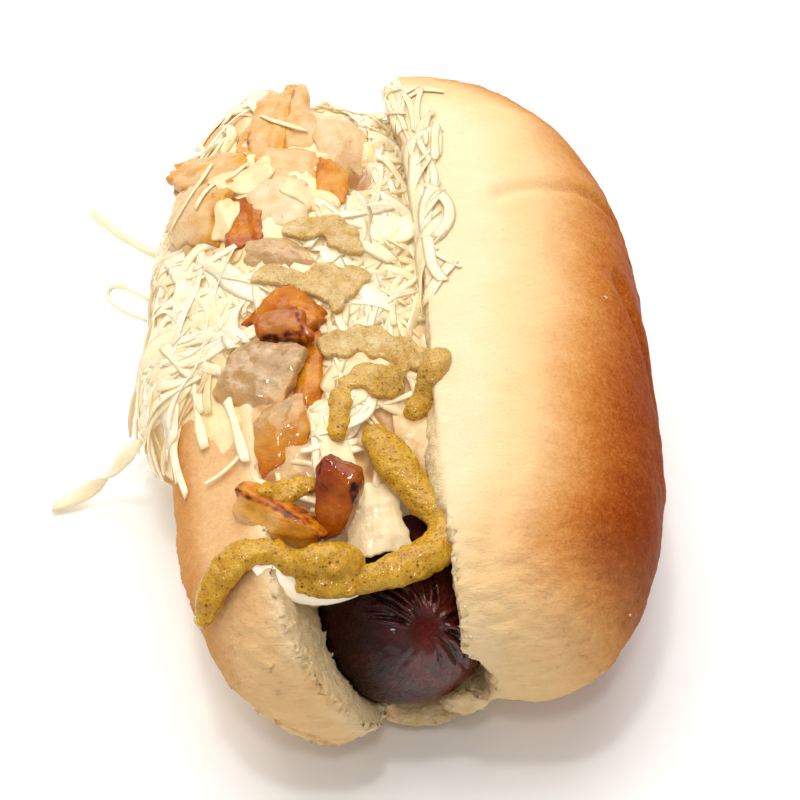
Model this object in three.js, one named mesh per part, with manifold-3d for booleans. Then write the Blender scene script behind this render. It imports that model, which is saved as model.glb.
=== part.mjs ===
// A hot dog: a soft roll cut from one side and opened, a grilled sausage in the fold, and
// sauerkraut, grilled onion and mustard heaped on top.
// Millimetres. +X is to the right of the roll, +Y runs along it to its far end, +Z is up.
// The origin is on the flat underside, below the middle of the sausage.
import * as THREE from "three";
import { mergeVertices } from "three/addons/utils/BufferGeometryUtils.js";
import Module from "manifold-3d";

const wasm = await Module();
wasm.setup();

// Driving sizes
const LOAF_LENGTH = 156;
const LOAF_WIDTH = 53; // across the baked loaf, from side to side
const BASE_THICKNESS = 21; // from the bottom crust up to the knife's cut
const DOME_THICKNESS = 41; // from the knife's cut to the top of the loaf
const WEB = new THREE.Vector3(40, LOAF_LENGTH - 23, 12.5); // bread that joins the halves
const WEB_MIDDLE = new THREE.Vector3(3.5, 1, 5.2);
const MOUTH = new THREE.Vector3(30.4, 30, 31); // torn out of the bread at the near end
const MOUTH_MIDDLE = new THREE.Vector3(0.4, -69.5, 21.8);
const RIDGE = new THREE.Vector3(6.4, 27, 10); // crumb torn up along the high half's lip
const RIDGE_MIDDLE = new THREE.Vector3(8.2, -38, 45.6);
const SAUSAGE_DIAMETER = 32.8;
const SAUSAGE_LENGTH = 142;
const SAUSAGE_BOTTOM = 4.5; // the bread left under the sausage
const SAUSAGE_RISE = 5; // how far its two ends curl up
const MOUND = new THREE.Vector3(56, 124, 42); // sauerkraut in the fold
const SPILL = new THREE.Vector3(26, 88, 32); // sauerkraut hanging over the low half
const FRONT = new THREE.Vector3(24, 28, 16); // sauerkraut at the near end of the low half
const TIP_RADIUS = 0.25; // of a bead of mustard
const LEAF_THICKNESS = 1.5;
const SHRED_WIDTH = 2.4;
const SHRED_THICKNESS = 1.3;
const SHRED_COUNT = 6;
const GAP = 0.35; // kept between neighbouring pieces

// How the two halves of the roll stand: their lean from upright, and the bottom edge of
// each cut face.
const DOME_LEAN = THREE.MathUtils.degToRad(-7);
const DOME_FOOT = new THREE.Vector3(13.5, 3.5, 1.5);
const BASE_LEAN = THREE.MathUtils.degToRad(-38);
const BASE_FOOT = new THREE.Vector3(0, 2, 4.5);
const KNIFE_SLANT = THREE.MathUtils.degToRad(8); // leaves more bread at the base's lip

const { clamp, lerp, smoothstep, seededRandom, degToRad } = THREE.MathUtils;

// A closed geometry as a solid that can be cut and joined.
const solidOf = (geometry) => {
  const bare = geometry.clone();
  bare.deleteAttribute("normal");
  bare.deleteAttribute("uv");
  const { attributes, index } = mergeVertices(bare, 1e-4);
  return new wasm.Manifold(
    new wasm.Mesh({
      numProp: 3,
      vertProperties: new Float32Array(attributes.position.array),
      triVerts: new Uint32Array(index.array),
    }),
  );
};

const geometryOf = (solid) => {
  const mesh = solid.getMesh();
  const position = new Float32Array(mesh.numVert * 3);
  for (let i = 0; i < mesh.numVert; i++) {
    const start = i * mesh.numProp;
    position.set(mesh.vertProperties.subarray(start, start + 3), i * 3);
  }
  const geometry = new THREE.BufferGeometry();
  geometry.setAttribute("position", new THREE.BufferAttribute(position, 3));
  geometry.setIndex(new THREE.BufferAttribute(mesh.triVerts, 1));
  return geometry;
};

// Moves each vertex of a geometry by a function of its place.
const reshape = (geometry, move) => {
  const position = geometry.getAttribute("position");
  const point = new THREE.Vector3();
  for (let i = 0; i < position.count; i++) {
    move(point.fromBufferAttribute(position, i));
    position.setXYZ(i, point.x, point.y, point.z);
  }
  return geometry;
};

// The largest body of a solid, without the scraps that a cut leaves.
const largest = (solid) =>
  solid.decompose().sort((a, b) => b.volume() - a.volume())[0];

// A smooth, repeatable unevenness of about -1 to 1.
const unevenness = (p, size) =>
  (Math.sin(p.x / size + 1.3) * Math.cos(p.y / (size * 1.3) + 0.4) +
    Math.sin(p.z / (size * 0.8) + p.y / (size * 2.1) + 2.1) * 0.7 +
    Math.cos((p.x + p.y) / (size * 0.6) + 0.9) * 0.4) /
  2.1;

// A block that is rounded by two exponents: section squares it across Y, and ends, which may
// differ at its far end, makes its ends blunt.
function roundedBlock({ size, section, ends, farEnds = ends, segments }) {
  const box = new THREE.BoxGeometry(2, 2, 2, ...segments);
  return reshape(box, (p) => {
    const blunt = p.y > 0 ? farEnds : ends;
    const across = Math.pow(Math.abs(p.x), section) + Math.pow(Math.abs(p.z), section);
    const cross = Math.pow(across, blunt / section);
    const reach = Math.pow(cross + Math.pow(Math.abs(p.y), blunt), 1 / blunt);
    p.divideScalar(reach).multiply(size).multiplyScalar(0.5);
  });
}

// A rounded block as a solid, at its place.
const blockSolid = (shape, middle) =>
  solidOf(roundedBlock(shape).translate(middle.x, middle.y, middle.z));

const grown = (size, by) => size.clone().addScalar(2 * by);

// A solid leaned about Y and then moved.
const stood = (solid, lean, foot) =>
  solid.transform(new THREE.Matrix4().makeRotationY(lean).setPosition(foot).elements);

// Half of the baked loaf, standing on its side. The knife's cut is its local plane x = 0,
// with the hinge along the bottom of it. grow makes the half larger all round.
function loafHalf(isDome, grow) {
  const thickness = isDome ? DOME_THICKNESS : BASE_THICKNESS;
  const size = new THREE.Vector3(2 * thickness, LOAF_LENGTH, LOAF_WIDTH);
  const half = roundedBlock({
    size: grown(size, grow),
    section: isDome ? 2.15 : 3.1,
    ends: isDome ? 2.9 : 3,
    farEnds: isDome ? 3.2 : 3,
    segments: [6, 14, 7],
  });
  reshape(half, (p) => {
    p.addScaledVector(p.clone().normalize(), unevenness(p, 17) * 0.6);
    p.z += LOAF_WIDTH / 2 - 2;
    if (isDome) {
      // Its far end closes towards the sausage. The foot of its near end is drawn in beside
      // the sausage, and swells out at the side.
      const far = clamp((p.y - 15) / 60, 0, 1);
      p.x -= 8 * far * far;
      const inner = 4.5 * (1 - smoothstep(p.x, 2, 16));
      const outer = 2.5 * smoothstep(p.x, 12, 28);
      const foot = smoothstep(-p.y, 40, 78) * (1 - smoothstep(p.z, 15, 40));
      p.y += foot * (inner - outer);
    }
  });
  const reach = 2 * LOAF_LENGTH;
  const keep = new THREE.BoxGeometry(reach, reach, reach);
  keep.translate((isDome ? 1 : -1) * (reach / 2 - grow), 0, 0);
  if (!isDome) {
    keep.rotateY(KNIFE_SLANT);
  }
  return solidOf(half).intersect(solidOf(keep));
}

// The sausage: a capsule with blunt, rounded tips, bent so that its ends rise.
function sausageGeometry(grow) {
  const radius = SAUSAGE_DIAMETER / 2 + grow;
  const half = SAUSAGE_LENGTH / 2 + grow;
  const around = 20;
  const arcSteps = 8;
  const bodySteps = 6;
  const nearEnd = [];
  for (let i = 0; i <= arcSteps; i++) {
    const turn = (i / arcSteps) * (Math.PI / 2);
    const r = radius * Math.pow(Math.sin(turn), 0.8);
    nearEnd.push(new THREE.Vector2(r, -half + radius * (1 - Math.cos(turn))));
  }
  const straight = 2 * (half - radius);
  const body = [];
  for (let i = 1; i < bodySteps; i++) {
    body.push(new THREE.Vector2(radius, -half + radius + (straight * i) / bodySteps));
  }
  const farEnd = nearEnd.map((p) => new THREE.Vector2(p.x, -p.y)).reverse();
  const lathe = new THREE.LatheGeometry([...nearEnd, ...body, ...farEnd], around);
  return reshape(lathe, (p) => {
    p.z += SAUSAGE_BOTTOM + SAUSAGE_DIAMETER / 2;
    p.z += SAUSAGE_RISE * Math.pow(p.y / (SAUSAGE_LENGTH / 2), 2);
  });
}

// The roll: both halves, and the web of bread that still joins them under the sausage, with
// the near end torn open round the sausage's tip.
function rollSolid(grow) {
  const web = { size: grown(WEB, grow), section: 2.2, ends: 2.6, segments: [6, 9, 3] };
  const mouth = { size: grown(MOUTH, -grow), section: 2, ends: 2, segments: [5, 5, 5] };
  const ridge = { size: grown(RIDGE, grow), section: 2, ends: 2.2, segments: [2, 6, 2] };
  return stood(loafHalf(true, grow), DOME_LEAN, DOME_FOOT)
    .add(blockSolid(web, WEB_MIDDLE))
    .subtract(blockSolid(mouth, MOUTH_MIDDLE))
    .add(stood(loafHalf(false, grow), BASE_LEAN, BASE_FOOT))
    .add(blockSolid(ridge, RIDGE_MIDDLE));
}

// A petal of onion or leaf of cabbage: a curved slab with four sides, of a length, width and
// thickness. narrow is its width at the right end over that at the left, short its length at
// the upper side over that at the lower, and shear slides the upper side along. bow and cup
// curve it down at its ends and sides. grow makes it larger all round.
function petalGeometry({ size, narrow = 1, short = 1, shear = 0, bow = 0.12, cup = 0.2 }, grow) {
  const [length, width, thickness] = size;
  const box = new THREE.BoxGeometry(2, 2, 2, 4, 3, 1);
  return reshape(box, (p) => {
    const edge = Math.max(Math.abs(p.x), Math.abs(p.y));
    const reach = Math.pow(Math.pow(Math.abs(p.x), 6) + Math.pow(Math.abs(p.y), 6), 1 / 6);
    const drawn = reach > 0 ? edge / reach : 1;
    const u = p.x * drawn * (1 + (2 * grow) / length);
    const v = p.y * drawn * (1 + (2 * grow) / width);
    const thin = 1 - 0.16 * Math.pow(edge, 6);
    p.x = (u * length * (1 + (v * (short - 1)) / (short + 1)) + shear * v) / 2;
    p.y = (v * width * (1 + (u * (narrow - 1)) / (narrow + 1))) / 2;
    p.z *= (thickness / 2) * thin + grow;
    p.z -= bow * 0.25 * length * u * u + cup * 0.25 * width * v * v;
  });
}

// A petal at its place, turned by its yaw, roll and pitch in degrees.
function placedPetal({ at, turn, ...shape }, grow) {
  const [yaw, roll, pitch] = turn.map((angle) => degToRad(angle));
  const turned = new THREE.Matrix4().makeRotationFromEuler(
    new THREE.Euler(roll, pitch, yaw, "ZYX"),
  );
  return petalGeometry(shape, grow).applyMatrix4(turned).translate(...at);
}

// A flattened bead of mustard, swept along a smooth curve through places that each give its
// half width and half thickness. grow makes it larger all round.
function beadGeometry(places, seed, grow) {
  const points = places.map(([x, y, z]) => new THREE.Vector3(x, y, z));
  const curve = new THREE.CatmullRomCurve3(points, false, "centripetal");
  const rings = Math.max(5, Math.round(curve.getLength() / 3));
  const around = 8;
  const up = new THREE.Vector3(0, 0, 1);
  // The bead is built from a cylinder: its height becomes the way along the curve.
  const tube = new THREE.CylinderGeometry(1, 1, 1, around, rings);
  return reshape(tube, (p) => {
    const t = clamp(p.y + 0.5, 0, 1);
    const step = Math.round(t * rings);
    const before = Math.min(Math.floor(t * (places.length - 1)), places.length - 2);
    const between = t * (places.length - 1) - before;
    const halfWidth = lerp(places[before][3], places[before + 1][3], between);
    const halfThickness = lerp(places[before][4], places[before + 1][4], between);
    const lump = 1 + 0.09 * Math.sin(1.9 * step + seed);
    const tip = Math.sqrt(clamp(Math.min(step, rings - step) * 0.7, 0, 1));
    const along = curve.getTangentAt(t);
    const side = new THREE.Vector3().crossVectors(up, along).normalize();
    const over = new THREE.Vector3().crossVectors(along, side);
    const across = p.x * (halfWidth * lump * tip + TIP_RADIUS + grow);
    const lift = -p.z * (halfThickness * tip + TIP_RADIUS + grow);
    const beyond = step === 0 ? -grow : step === rings ? grow : 0;
    p.copy(curve.getPointAt(t)).addScaledVector(along, beyond);
    p.addScaledVector(side, across).addScaledVector(over, lift);
  });
}

// A flat shred swept along a smooth curve, laid flat to the ground where it can be.
function shredGeometry(points, width = SHRED_WIDTH, thickness = SHRED_THICKNESS) {
  const curve = new THREE.CatmullRomCurve3(points, false, "centripetal");
  const steps = Math.max(4, Math.round(curve.getLength() / 5));
  const box = new THREE.BoxGeometry(1, 1, 1, steps, 1, 1);
  const up = new THREE.Vector3(0, 0, 1);
  return reshape(box, (p) => {
    const t = clamp(p.x + 0.5, 0, 1);
    const along = curve.getTangentAt(t);
    const side = new THREE.Vector3().crossVectors(up, along);
    if (side.lengthSq() < 0.05) {
      side.set(1, 0, 0);
    }
    side.normalize();
    const flat = new THREE.Vector3().crossVectors(along, side);
    const taper = 0.55 + 0.45 * Math.sin(Math.PI * t);
    const across = p.y * width * taper;
    const over = p.z * thickness * taper;
    p.copy(curve.getPointAt(t)).addScaledVector(side, across).addScaledVector(flat, over);
  });
}

// The sauerkraut's core: a mound in the fold, and the part that spills over the low half.
function mounds() {
  const mound = roundedBlock({ size: MOUND, section: 2.2, ends: 2.7, segments: [7, 12, 5] });
  const spill = roundedBlock({ size: SPILL, section: 2.1, ends: 2.4, segments: [4, 8, 4] });
  const front = roundedBlock({ size: FRONT, section: 2.2, ends: 2.2, segments: [4, 4, 3] });
  mound.translate(-13, 8, 31);
  spill.translate(-35, 12, 28);
  front.translate(-19, -46, 36);
  const solids = [mound, spill, front].map((blob) =>
    solidOf(
      reshape(blob, (p) => {
        p.z += unevenness(p, 7) * 1.6;
        p.x += unevenness(p, 9) * 1.4;
      }),
    ),
  );
  return solids.reduce((all, solid) => all.add(solid));
}

const table = solidOf(new THREE.BoxGeometry(400, 400, 100).translate(0, 0, -50));
const sausage = solidOf(sausageGeometry(0));
const sausageRoom = solidOf(sausageGeometry(GAP));
const roll = largest(rollSolid(0).subtract(sausageRoom).subtract(table));
const rollRoom = rollSolid(GAP);
const core = mounds();

// The height of the highest surface at a place, over the given solids.
const ray = new THREE.Raycaster();
const down = new THREE.Vector3(0, 0, -1);
const surfaceOf = (solid) => new THREE.Mesh(geometryOf(solid), new THREE.MeshBasicMaterial());
const heightOver = (surfaces, x, y) => {
  ray.set(new THREE.Vector3(x, y, 200), down);
  const hits = ray.intersectObjects(surfaces, false);
  return hits.length > 0 ? hits[0].point.z : 0;
};
const coreSurface = surfaceOf(core);
const rollSurface = surfaceOf(roll);
const sausageSurface = surfaceOf(sausage);

// Onion. at is the middle of each petal. The near, browned pieces come first.
const ONIONS = [
  { at: [-21.7, -48.4, 44.2], turn: [-31, 64, 2], size: [17.2, 7, 5.6], narrow: 0.62, short: 1.22 },
  { at: [-11.1, -47.4, 48.6], turn: [-23, 52, 1], size: [6.4, 13.4, 5], short: 1.45 },
  { at: [-21.1, -31.7, 47.7], turn: [20, 13, -15], size: [10.2, 11.2, 3.8], shear: 5.9 },
  { at: [-24.3, -17.1, 49.3], turn: [-28, 16, -10], size: [14.6, 14.8, 3], narrow: 1.3, cup: 0.3 },
  { at: [-17.6, -3.6, 50.9], turn: [-36, 13, -3], size: [12.6, 10.2, 3], narrow: 0.5, shear: 3.3 },
  { at: [-14.7, -16.1, 48.5], turn: [0, 6, -7], size: [5, 19, 3], shear: 1.9 },
  { at: [-19.6, 12.8, 50.8], turn: [-13, 15, -8], size: [13, 7.6, 3], short: 0.66, shear: -4.5 },
  { at: [-34.6, 30.7, 45.7], turn: [-28, 14, -24], size: [12.8, 14.4, 3], narrow: 1.21, shear: -3.8 },
  { at: [-20, 53, 48.4], turn: [-14, 4, -11], size: [7.4, 17.6, 3], short: 0.88, shear: -2.7 },
  { at: [-6.6, 50.2, 48], turn: [21, -1, 8], size: [9.6, 17.4, 3.2], short: 0.7, shear: 3.4 },
  { at: [-18.6, 26.5, 51.4], turn: [4, -1, -4], size: [11.6, 13.8, 3], bow: 0.3 },
  { at: [-32.5, 42.4, 45.7], turn: [-18, 0, -17], size: [15.2, 9.6, 3], narrow: 1.16, shear: -2.6 },
  { at: [-8.3, 33.4, 50], turn: [-29, -5, 0], size: [6.4, 12.6, 3], shear: -5.3 },
  { at: [-19.6, -7.7, 52.6], turn: [-14, 11, -9], size: [9, 6, 2.8], narrow: 1.4, shear: -1.4 },
  { at: [-14.5, 55.3, 48.5], turn: [24, -1, 9], size: [6.8, 18.2, 3], short: 0.66, shear: 7.3 },
  { at: [-16.9, 39.1, 50], turn: [-5, -5, -6], size: [10.8, 11.4, 3], short: 0.9 },
  { at: [-25.7, 23.5, 49.3], turn: [-23, 6, -16], size: [8.4, 10.6, 3], shear: -5.3 },
];

// Mustard: the beads of each piece, by the places they run through and their half width and
// half thickness there. A place with no height lies on whatever is below it.
const BEADS = {
  mustard_front: [
    [
      [-36.2, -63.8, 35.6, 2, 1.2], [-34.6, -61, 39.4, 3.6, 1.6], [-31.6, -57.8, 42.8, 4.1, 1.9],
      [-27.6, -55.6, 44.6, 3.5, 1.9], [-23.6, -55.6, 44.9, 2.7, 1.9], [-17.2, -58.4, 44.4, 2.4, 1.8],
    ],
    [
      [-19.6, -58, 44, 2.4, 2], [-16.6, -58.6, 45, 3.4, 2.9], [-13.2, -58.3, 45.4, 3.9, 3],
      [-10, -58.6, 45, 3.3, 2.6],
    ],
    [
      [-17.6, -60.8, 42, 1.6, 1.8], [-14, -61.8, 41.8, 2.2, 2.2], [-9, -61.4, 42.2, 2.6, 2.4],
      [-3.6, -60.4, 43, 3, 2.5], [1.2, -59, 43.4, 3.6, 2.7], [5.2, -56.6, 43.6, 4.1, 2.9],
      [7.6, -53.4, 43.8, 3.7, 2.8], [7.4, -50.4, 44.4, 3.2, 2.5], [5, -46.8, 45.4, 3.4, 2.5],
      [2.4, -43.6, 46.4, 3.5, 2.5], [0.2, -39.8, 47.6, 3.7, 2.4], [-1.8, -36.2, 48.6, 3.5, 2.2],
      [-3.6, -33.2, 49.2, 2.5, 1.7],
    ],
  ],
  mustard_side: [
    [[-23, -44, null, 1.6, 1.2], [-19.7, -43.2, null, 2.6, 1.5], [-16.4, -42.6, null, 2.3, 1.5]],
  ],
  mustard_short: [
    [[-10, -32.6, null, 1.6, 1.2], [-9.7, -29.4, null, 2.5, 1.5], [-9.2, -25.6, null, 2, 1.3]],
  ],
  mustard_lip: [
    [
      [9, -18.8, null, 3, 1.5], [7.2, -21.8, null, 3.5, 2], [5.6, -24.6, null, 3.1, 2.3],
      [4, -27.4, null, 2.3, 2.2],
    ],
  ],
  mustard_band: [
    [
      [8, -15.6, null, 2, 0.9], [3, -13.4, null, 3.6, 1.1], [-3, -12.4, null, 3.8, 1.1],
      [-8.4, -12.2, null, 3.6, 1], [-12.4, -11, null, 2.4, 0.9],
    ],
    [[-9, -21.6, null, 1.8, 0.8], [-4.4, -21.4, null, 2.8, 1], [1, -22.2, null, 2.6, 1]],
    [[2.4, -13, null, 2.2, 0.9], [1.4, -18, null, 2, 0.9], [0.8, -23, null, 1.8, 0.9]],
  ],
  mustard_middle: [
    [
      [-16.8, 4.2, null, 2.2, 0.9], [-12, 3.2, null, 4, 1.2], [-6.6, 3.4, null, 4.2, 1.2],
      [-2.6, 4.6, null, 2.6, 0.9],
    ],
    [[-24.4, 5.4, null, 1.5, 1], [-20.6, 6.8, null, 2.2, 1.2], [-15.4, 4.8, null, 2.2, 1.2]],
    [[-8.4, 2, null, 2, 0.9], [-9, -4.6, null, 1.4, 0.7]],
  ],
  mustard_back: [
    [
      [-18, 17.4, null, 1.8, 0.8], [-12.2, 18, null, 3.4, 1.1], [-7.4, 15.6, null, 3.4, 1.1],
      [-3.6, 11.6, null, 2, 0.9],
    ],
  ],
};

// Each piece is cut clear of the ones before it, which are kept with their gap in taken.
const solids = new Map();
const restSurfaces = [coreSurface, rollSurface, sausageSurface];
let taken = sausageRoom.add(rollRoom);
ONIONS.forEach((onion, i) => {
  const solid = largest(solidOf(placedPetal(onion, 0)).subtract(taken));
  solids.set(`onion_${String(i + 1).padStart(2, "0")}`, solid);
  restSurfaces.push(surfaceOf(solid));
  taken = taken.add(solidOf(placedPetal(onion, GAP)));
});

// The places of a bead, with their heights. Each is eased towards its neighbours, as soft
// mustard bridges a hollow.
function restingPlaces(places) {
  const heights = places.map(([x, y, z, , halfThickness]) =>
    z ?? heightOver(restSurfaces, x, y) + halfThickness / 2,
  );
  return places.map(([x, y, z, halfWidth, halfThickness], k) => {
    const before = heights[Math.max(k - 1, 0)];
    const after = heights[Math.min(k + 1, heights.length - 1)];
    const eased = z ?? (before + 2 * heights[k] + after) / 4;
    return [x, y, eased, halfWidth, halfThickness];
  });
}

Object.entries(BEADS).forEach(([name, beads], i) => {
  const resting = beads.map(restingPlaces);
  const mustard = (grow) =>
    resting.map((bead) => solidOf(beadGeometry(bead, 2 * i, grow))).reduce((a, b) => a.add(b));
  solids.set(name, largest(mustard(0).subtract(taken)));
  taken = taken.add(mustard(GAP));
});

// Sauerkraut: the core, with shreds and leaves of cabbage fused on. A place with no height
// lies on whatever is below it.
const LONG_SHREDS = [
  [[-43, -2, 22], [-49, -5.5, 18], [-54.7, -3.5, 8.6], [-60, -3.5, 3.2], [-66.5, -5, 1.2]],
  [[-42, 34, 30], [-50, 38, 33], [-56, 46, 32], [-58, 52, 29]],
  [[-39.3, -18, 37.5], [-40.2, -23, 36.8], [-39.6, -28.5, 37], [-38, -35.5, 38]],
  [[-29.8, -21.5, 46.6], [-28.9, -26, 47], [-28, -31, 47.2], [-26.8, -36.8, 47.2]],
  [[-6, 2], [1, 4], [8, 6], [14, 5]],
  [[-4, 20], [2, 17], [9, 15], [15, 17]],
  [[-6, 32], [1, 30], [8, 32], [13, 36]],
  [[-8, 26], [0, 25], [8, 24], [17, 26]],
];
const CABBAGE = [
  { at: [-17.3, -59.7, 40.3], turn: [2, 62, 2], size: [14, 5.2], narrow: 0.58, short: 1.39 },
  { at: [-5.9, -18.3, 50.8], turn: [1, 6, -6], size: [14.4, 6.8], narrow: 0.86, bow: 0.3 },
  { at: [3.9, -34.5, 47.1], turn: [-32, 18, -2], size: [8, 13.4], short: 0.8, shear: -9.3 },
  { at: [-4.6, -47.4, 43.7], turn: [3, 17, -4], size: [9.6, 13.4], short: 0.7, bow: 0.4 },
  { at: [-12.2, -28.7, 48.6], turn: [0, 15, -7], size: [5.8, 8.8], short: 1.19 },
];
const shreds = CABBAGE.map(({ size, ...leaf }) =>
  solidOf(placedPetal({ ...leaf, size: [...size, LEAF_THICKNESS] }, 0)),
);
for (const places of LONG_SHREDS) {
  const points = places.map(([x, y, z]) => {
    const rest = heightOver([coreSurface, rollSurface], x, y) + GAP + SHRED_THICKNESS / 3;
    return new THREE.Vector3(x, y, z ?? rest);
  });
  shreds.push(solidOf(shredGeometry(points)));
}
let draw = 7;
const random = (low, high) => {
  draw += 1;
  return low + (high - low) * seededRandom(draw);
};
for (let i = 0; i < SHRED_COUNT; i++) {
  const overSpill = i % 2 === 0;
  const x = overSpill ? random(-46, -28) : random(-28, 4);
  const y = overSpill ? random(-24, 52) : random(-44, 62);
  const heading = random(0, Math.PI * 2);
  const bend = random(-1.2, 1.2);
  const points = [];
  let [px, py] = [x, y];
  for (let k = 0; k < 5; k++) {
    const z = heightOver([coreSurface], px, py);
    if (z > 0) {
      points.push(new THREE.Vector3(px, py, z + random(-0.3, 0.8)));
    }
    px += 4.5 * Math.cos(heading + bend * k * 0.5);
    py += 4.5 * Math.sin(heading + bend * k * 0.5);
  }
  if (points.length > 2) {
    shreds.push(solidOf(shredGeometry(points)));
  }
}

const kraut = shreds.reduce((all, shred) => all.add(shred), core);
solids.set("sauerkraut", largest(kraut.subtract(taken).subtract(table)));
solids.set("bun", roll);
solids.set("sausage", sausage);

const root = new THREE.Group();
const LOOKS = {
  bun: [0xe3a968, 0.7],
  sausage: [0x4b1b0f, 0.35],
  sauerkraut: [0xf0e0bc, 0.5],
  onion: [0xd09a4e, 0.35],
  mustard: [0xb88a34, 0.45],
};
for (const [name, solid] of solids) {
  const [color, roughness] = LOOKS[name.split("_")[0]];
  const material = new THREE.MeshStandardMaterial({ color, roughness, metalness: 0 });
  const mesh = new THREE.Mesh(geometryOf(solid), material);
  mesh.name = name;
  root.add(mesh);
}

export default root;
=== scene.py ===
"""The looks of a hot dog: a soft roll, a grilled sausage, sauerkraut, onion and mustard."""

import math
import random

import bpy
import numpy as np
from mathutils import Euler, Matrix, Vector, noise
from mathutils.bvhtree import BVHTree


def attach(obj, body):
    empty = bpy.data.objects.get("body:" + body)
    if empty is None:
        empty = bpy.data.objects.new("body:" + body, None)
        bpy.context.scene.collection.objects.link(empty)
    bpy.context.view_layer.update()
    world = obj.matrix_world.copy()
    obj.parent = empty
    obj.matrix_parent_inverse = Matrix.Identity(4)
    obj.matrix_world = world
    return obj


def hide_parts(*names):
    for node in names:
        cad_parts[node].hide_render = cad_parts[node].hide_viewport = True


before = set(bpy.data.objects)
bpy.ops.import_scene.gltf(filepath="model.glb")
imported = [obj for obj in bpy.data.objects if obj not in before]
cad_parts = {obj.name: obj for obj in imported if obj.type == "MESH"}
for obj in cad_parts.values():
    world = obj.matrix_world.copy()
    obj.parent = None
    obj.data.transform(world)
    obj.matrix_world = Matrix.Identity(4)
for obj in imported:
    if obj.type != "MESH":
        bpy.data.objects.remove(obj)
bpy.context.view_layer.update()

bpy.ops.object.select_all(action="DESELECT")

MM = 0.001

# The roll, in millimetres: both halves of one loaf, which stand on their sides.
LOAF_LENGTH = 156.0
LOAF_WIDTH = 53.0
BASE_THICKNESS = 21.0
DOME_THICKNESS = 41.0
HINGE_DEPTH = 2.0
DOME_LEAN = math.radians(-7)
DOME_FOOT = np.array((13.5, 3.5, 1.5))
BASE_LEAN = math.radians(-38)
BASE_FOOT = np.array((0.0, 2.0, 4.5))
KNIFE_SLANT = math.radians(8)

# The sausage
SAUSAGE_RADIUS = 16.4
SAUSAGE_LENGTH = 142.0
SAUSAGE_BOTTOM = 4.5
SAUSAGE_RISE = 5.0
SHOULDER = 1.0
BLUNTNESS = 0.8

GAP = 0.35
SHRED_LAYER = 0.9


# ---------------------------------------------------------------- working on a piece

def only(piece):
    """Selects one piece and makes it the active one."""
    bpy.ops.object.select_all(action="DESELECT")
    piece.select_set(True)
    bpy.context.view_layer.objects.active = piece


def named(piece, name):
    piece.name = name
    piece.data.name = name
    return piece


def block(name, cuts):
    """A cube from -1 to 1 mm, with every face cut into a grid."""
    bpy.ops.mesh.primitive_cube_add(size=2 * MM)
    piece = named(bpy.context.object, name)
    only(piece)
    bpy.ops.object.mode_set(mode="EDIT")
    bpy.ops.mesh.select_all(action="SELECT")
    bpy.ops.mesh.subdivide(number_cuts=cuts)
    bpy.ops.object.mode_set(mode="OBJECT")
    return piece


def points_of(piece):
    """The vertices of a piece, in millimetres."""
    flat = np.empty(len(piece.data.vertices) * 3)
    piece.data.vertices.foreach_get("co", flat)
    return flat.reshape(-1, 3) / MM


def put_points(piece, points):
    piece.data.vertices.foreach_set("co", (points * MM).ravel())
    piece.data.update()


def normals_of(piece):
    flat = np.empty(len(piece.data.vertices) * 3)
    piece.data.vertices.foreach_get("normal", flat)
    return flat.reshape(-1, 3)


def push(piece, amount):
    """Moves each vertex along its normal, by its own amount."""
    put_points(piece, points_of(piece) + normals_of(piece) * amount[:, None])


def modify(piece, kind, **settings):
    """Adds a modifier to a piece and applies it."""
    only(piece)
    modifier = piece.modifiers.new(kind.lower(), kind)
    for key, value in settings.items():
        setattr(modifier, key, value)
    bpy.ops.object.modifier_apply(modifier=modifier.name)


def ruffle(piece, size, strength, depth=2):
    """Raises soft, cloudy lumps of a size all over a piece."""
    clouds = bpy.data.textures.new(f"{piece.name}_{size}", "CLOUDS")
    clouds.noise_scale = size * MM
    clouds.noise_depth = depth
    modify(piece, "DISPLACE", texture=clouds, texture_coords="LOCAL",
           strength=strength * MM, mid_level=0.5)
    bpy.data.textures.remove(clouds)


def joined(pieces, name):
    """Several pieces as one, with one mesh."""
    bpy.ops.object.select_all(action="DESELECT")
    for piece in pieces:
        piece.select_set(True)
    bpy.context.view_layer.objects.active = pieces[0]
    bpy.ops.object.join()
    return named(bpy.context.object, name)


def fused(piece, voxel, smoothing):
    """Melts the overlapping shells of a piece into one even skin."""
    modify(piece, "REMESH", mode="VOXEL", voxel_size=voxel * MM, use_smooth_shade=True)
    if smoothing:
        modify(piece, "SMOOTH", factor=0.5, iterations=smoothing)
    return piece


def paint(piece, name, values):
    """Keeps a number for each vertex, which the piece's finish reads."""
    kept = piece.data.attributes.new(name, "FLOAT", "POINT")
    kept.data.foreach_set("value", np.asarray(values, np.float32))


def shaded(piece):
    only(piece)
    bpy.ops.object.shade_smooth()
    return piece


def from_arrays(name, points, faces):
    """A mesh piece from points in millimetres and faces."""
    mesh = bpy.data.meshes.new(name)
    mesh.from_pydata((np.asarray(points) * MM).tolist(), [], faces)
    mesh.update()
    piece = bpy.data.objects.new(name, mesh)
    bpy.context.scene.collection.objects.link(piece)
    return piece


def removed(piece):
    bpy.data.objects.remove(piece, do_unlink=True)


# ---------------------------------------------------------------- shapes in numbers

def unevenness(p, size):
    """A smooth, repeatable unevenness of about -1 to 1."""
    x, y, z = p[:, 0], p[:, 1], p[:, 2]
    return (
        np.sin(x / size + 1.3) * np.cos(y / (size * 1.3) + 0.4)
        + np.sin(z / (size * 0.8) + y / (size * 2.1) + 2.1) * 0.7
        + np.cos((x + y) / (size * 0.6) + 0.9) * 0.4
    ) / 2.1


def grain(points, size, seed=0, octaves=2):
    """Fractal noise of about -1 to 1 at each point. size may differ along X, Y and Z."""
    shift = Vector((seed * 7.31, seed * -3.17, seed * 5.71))
    scaled = (points / np.asarray(size, float)).tolist()
    return np.array([noise.fractal(Vector(p) + shift, 1.0, 2.0, octaves) for p in scaled])


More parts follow.
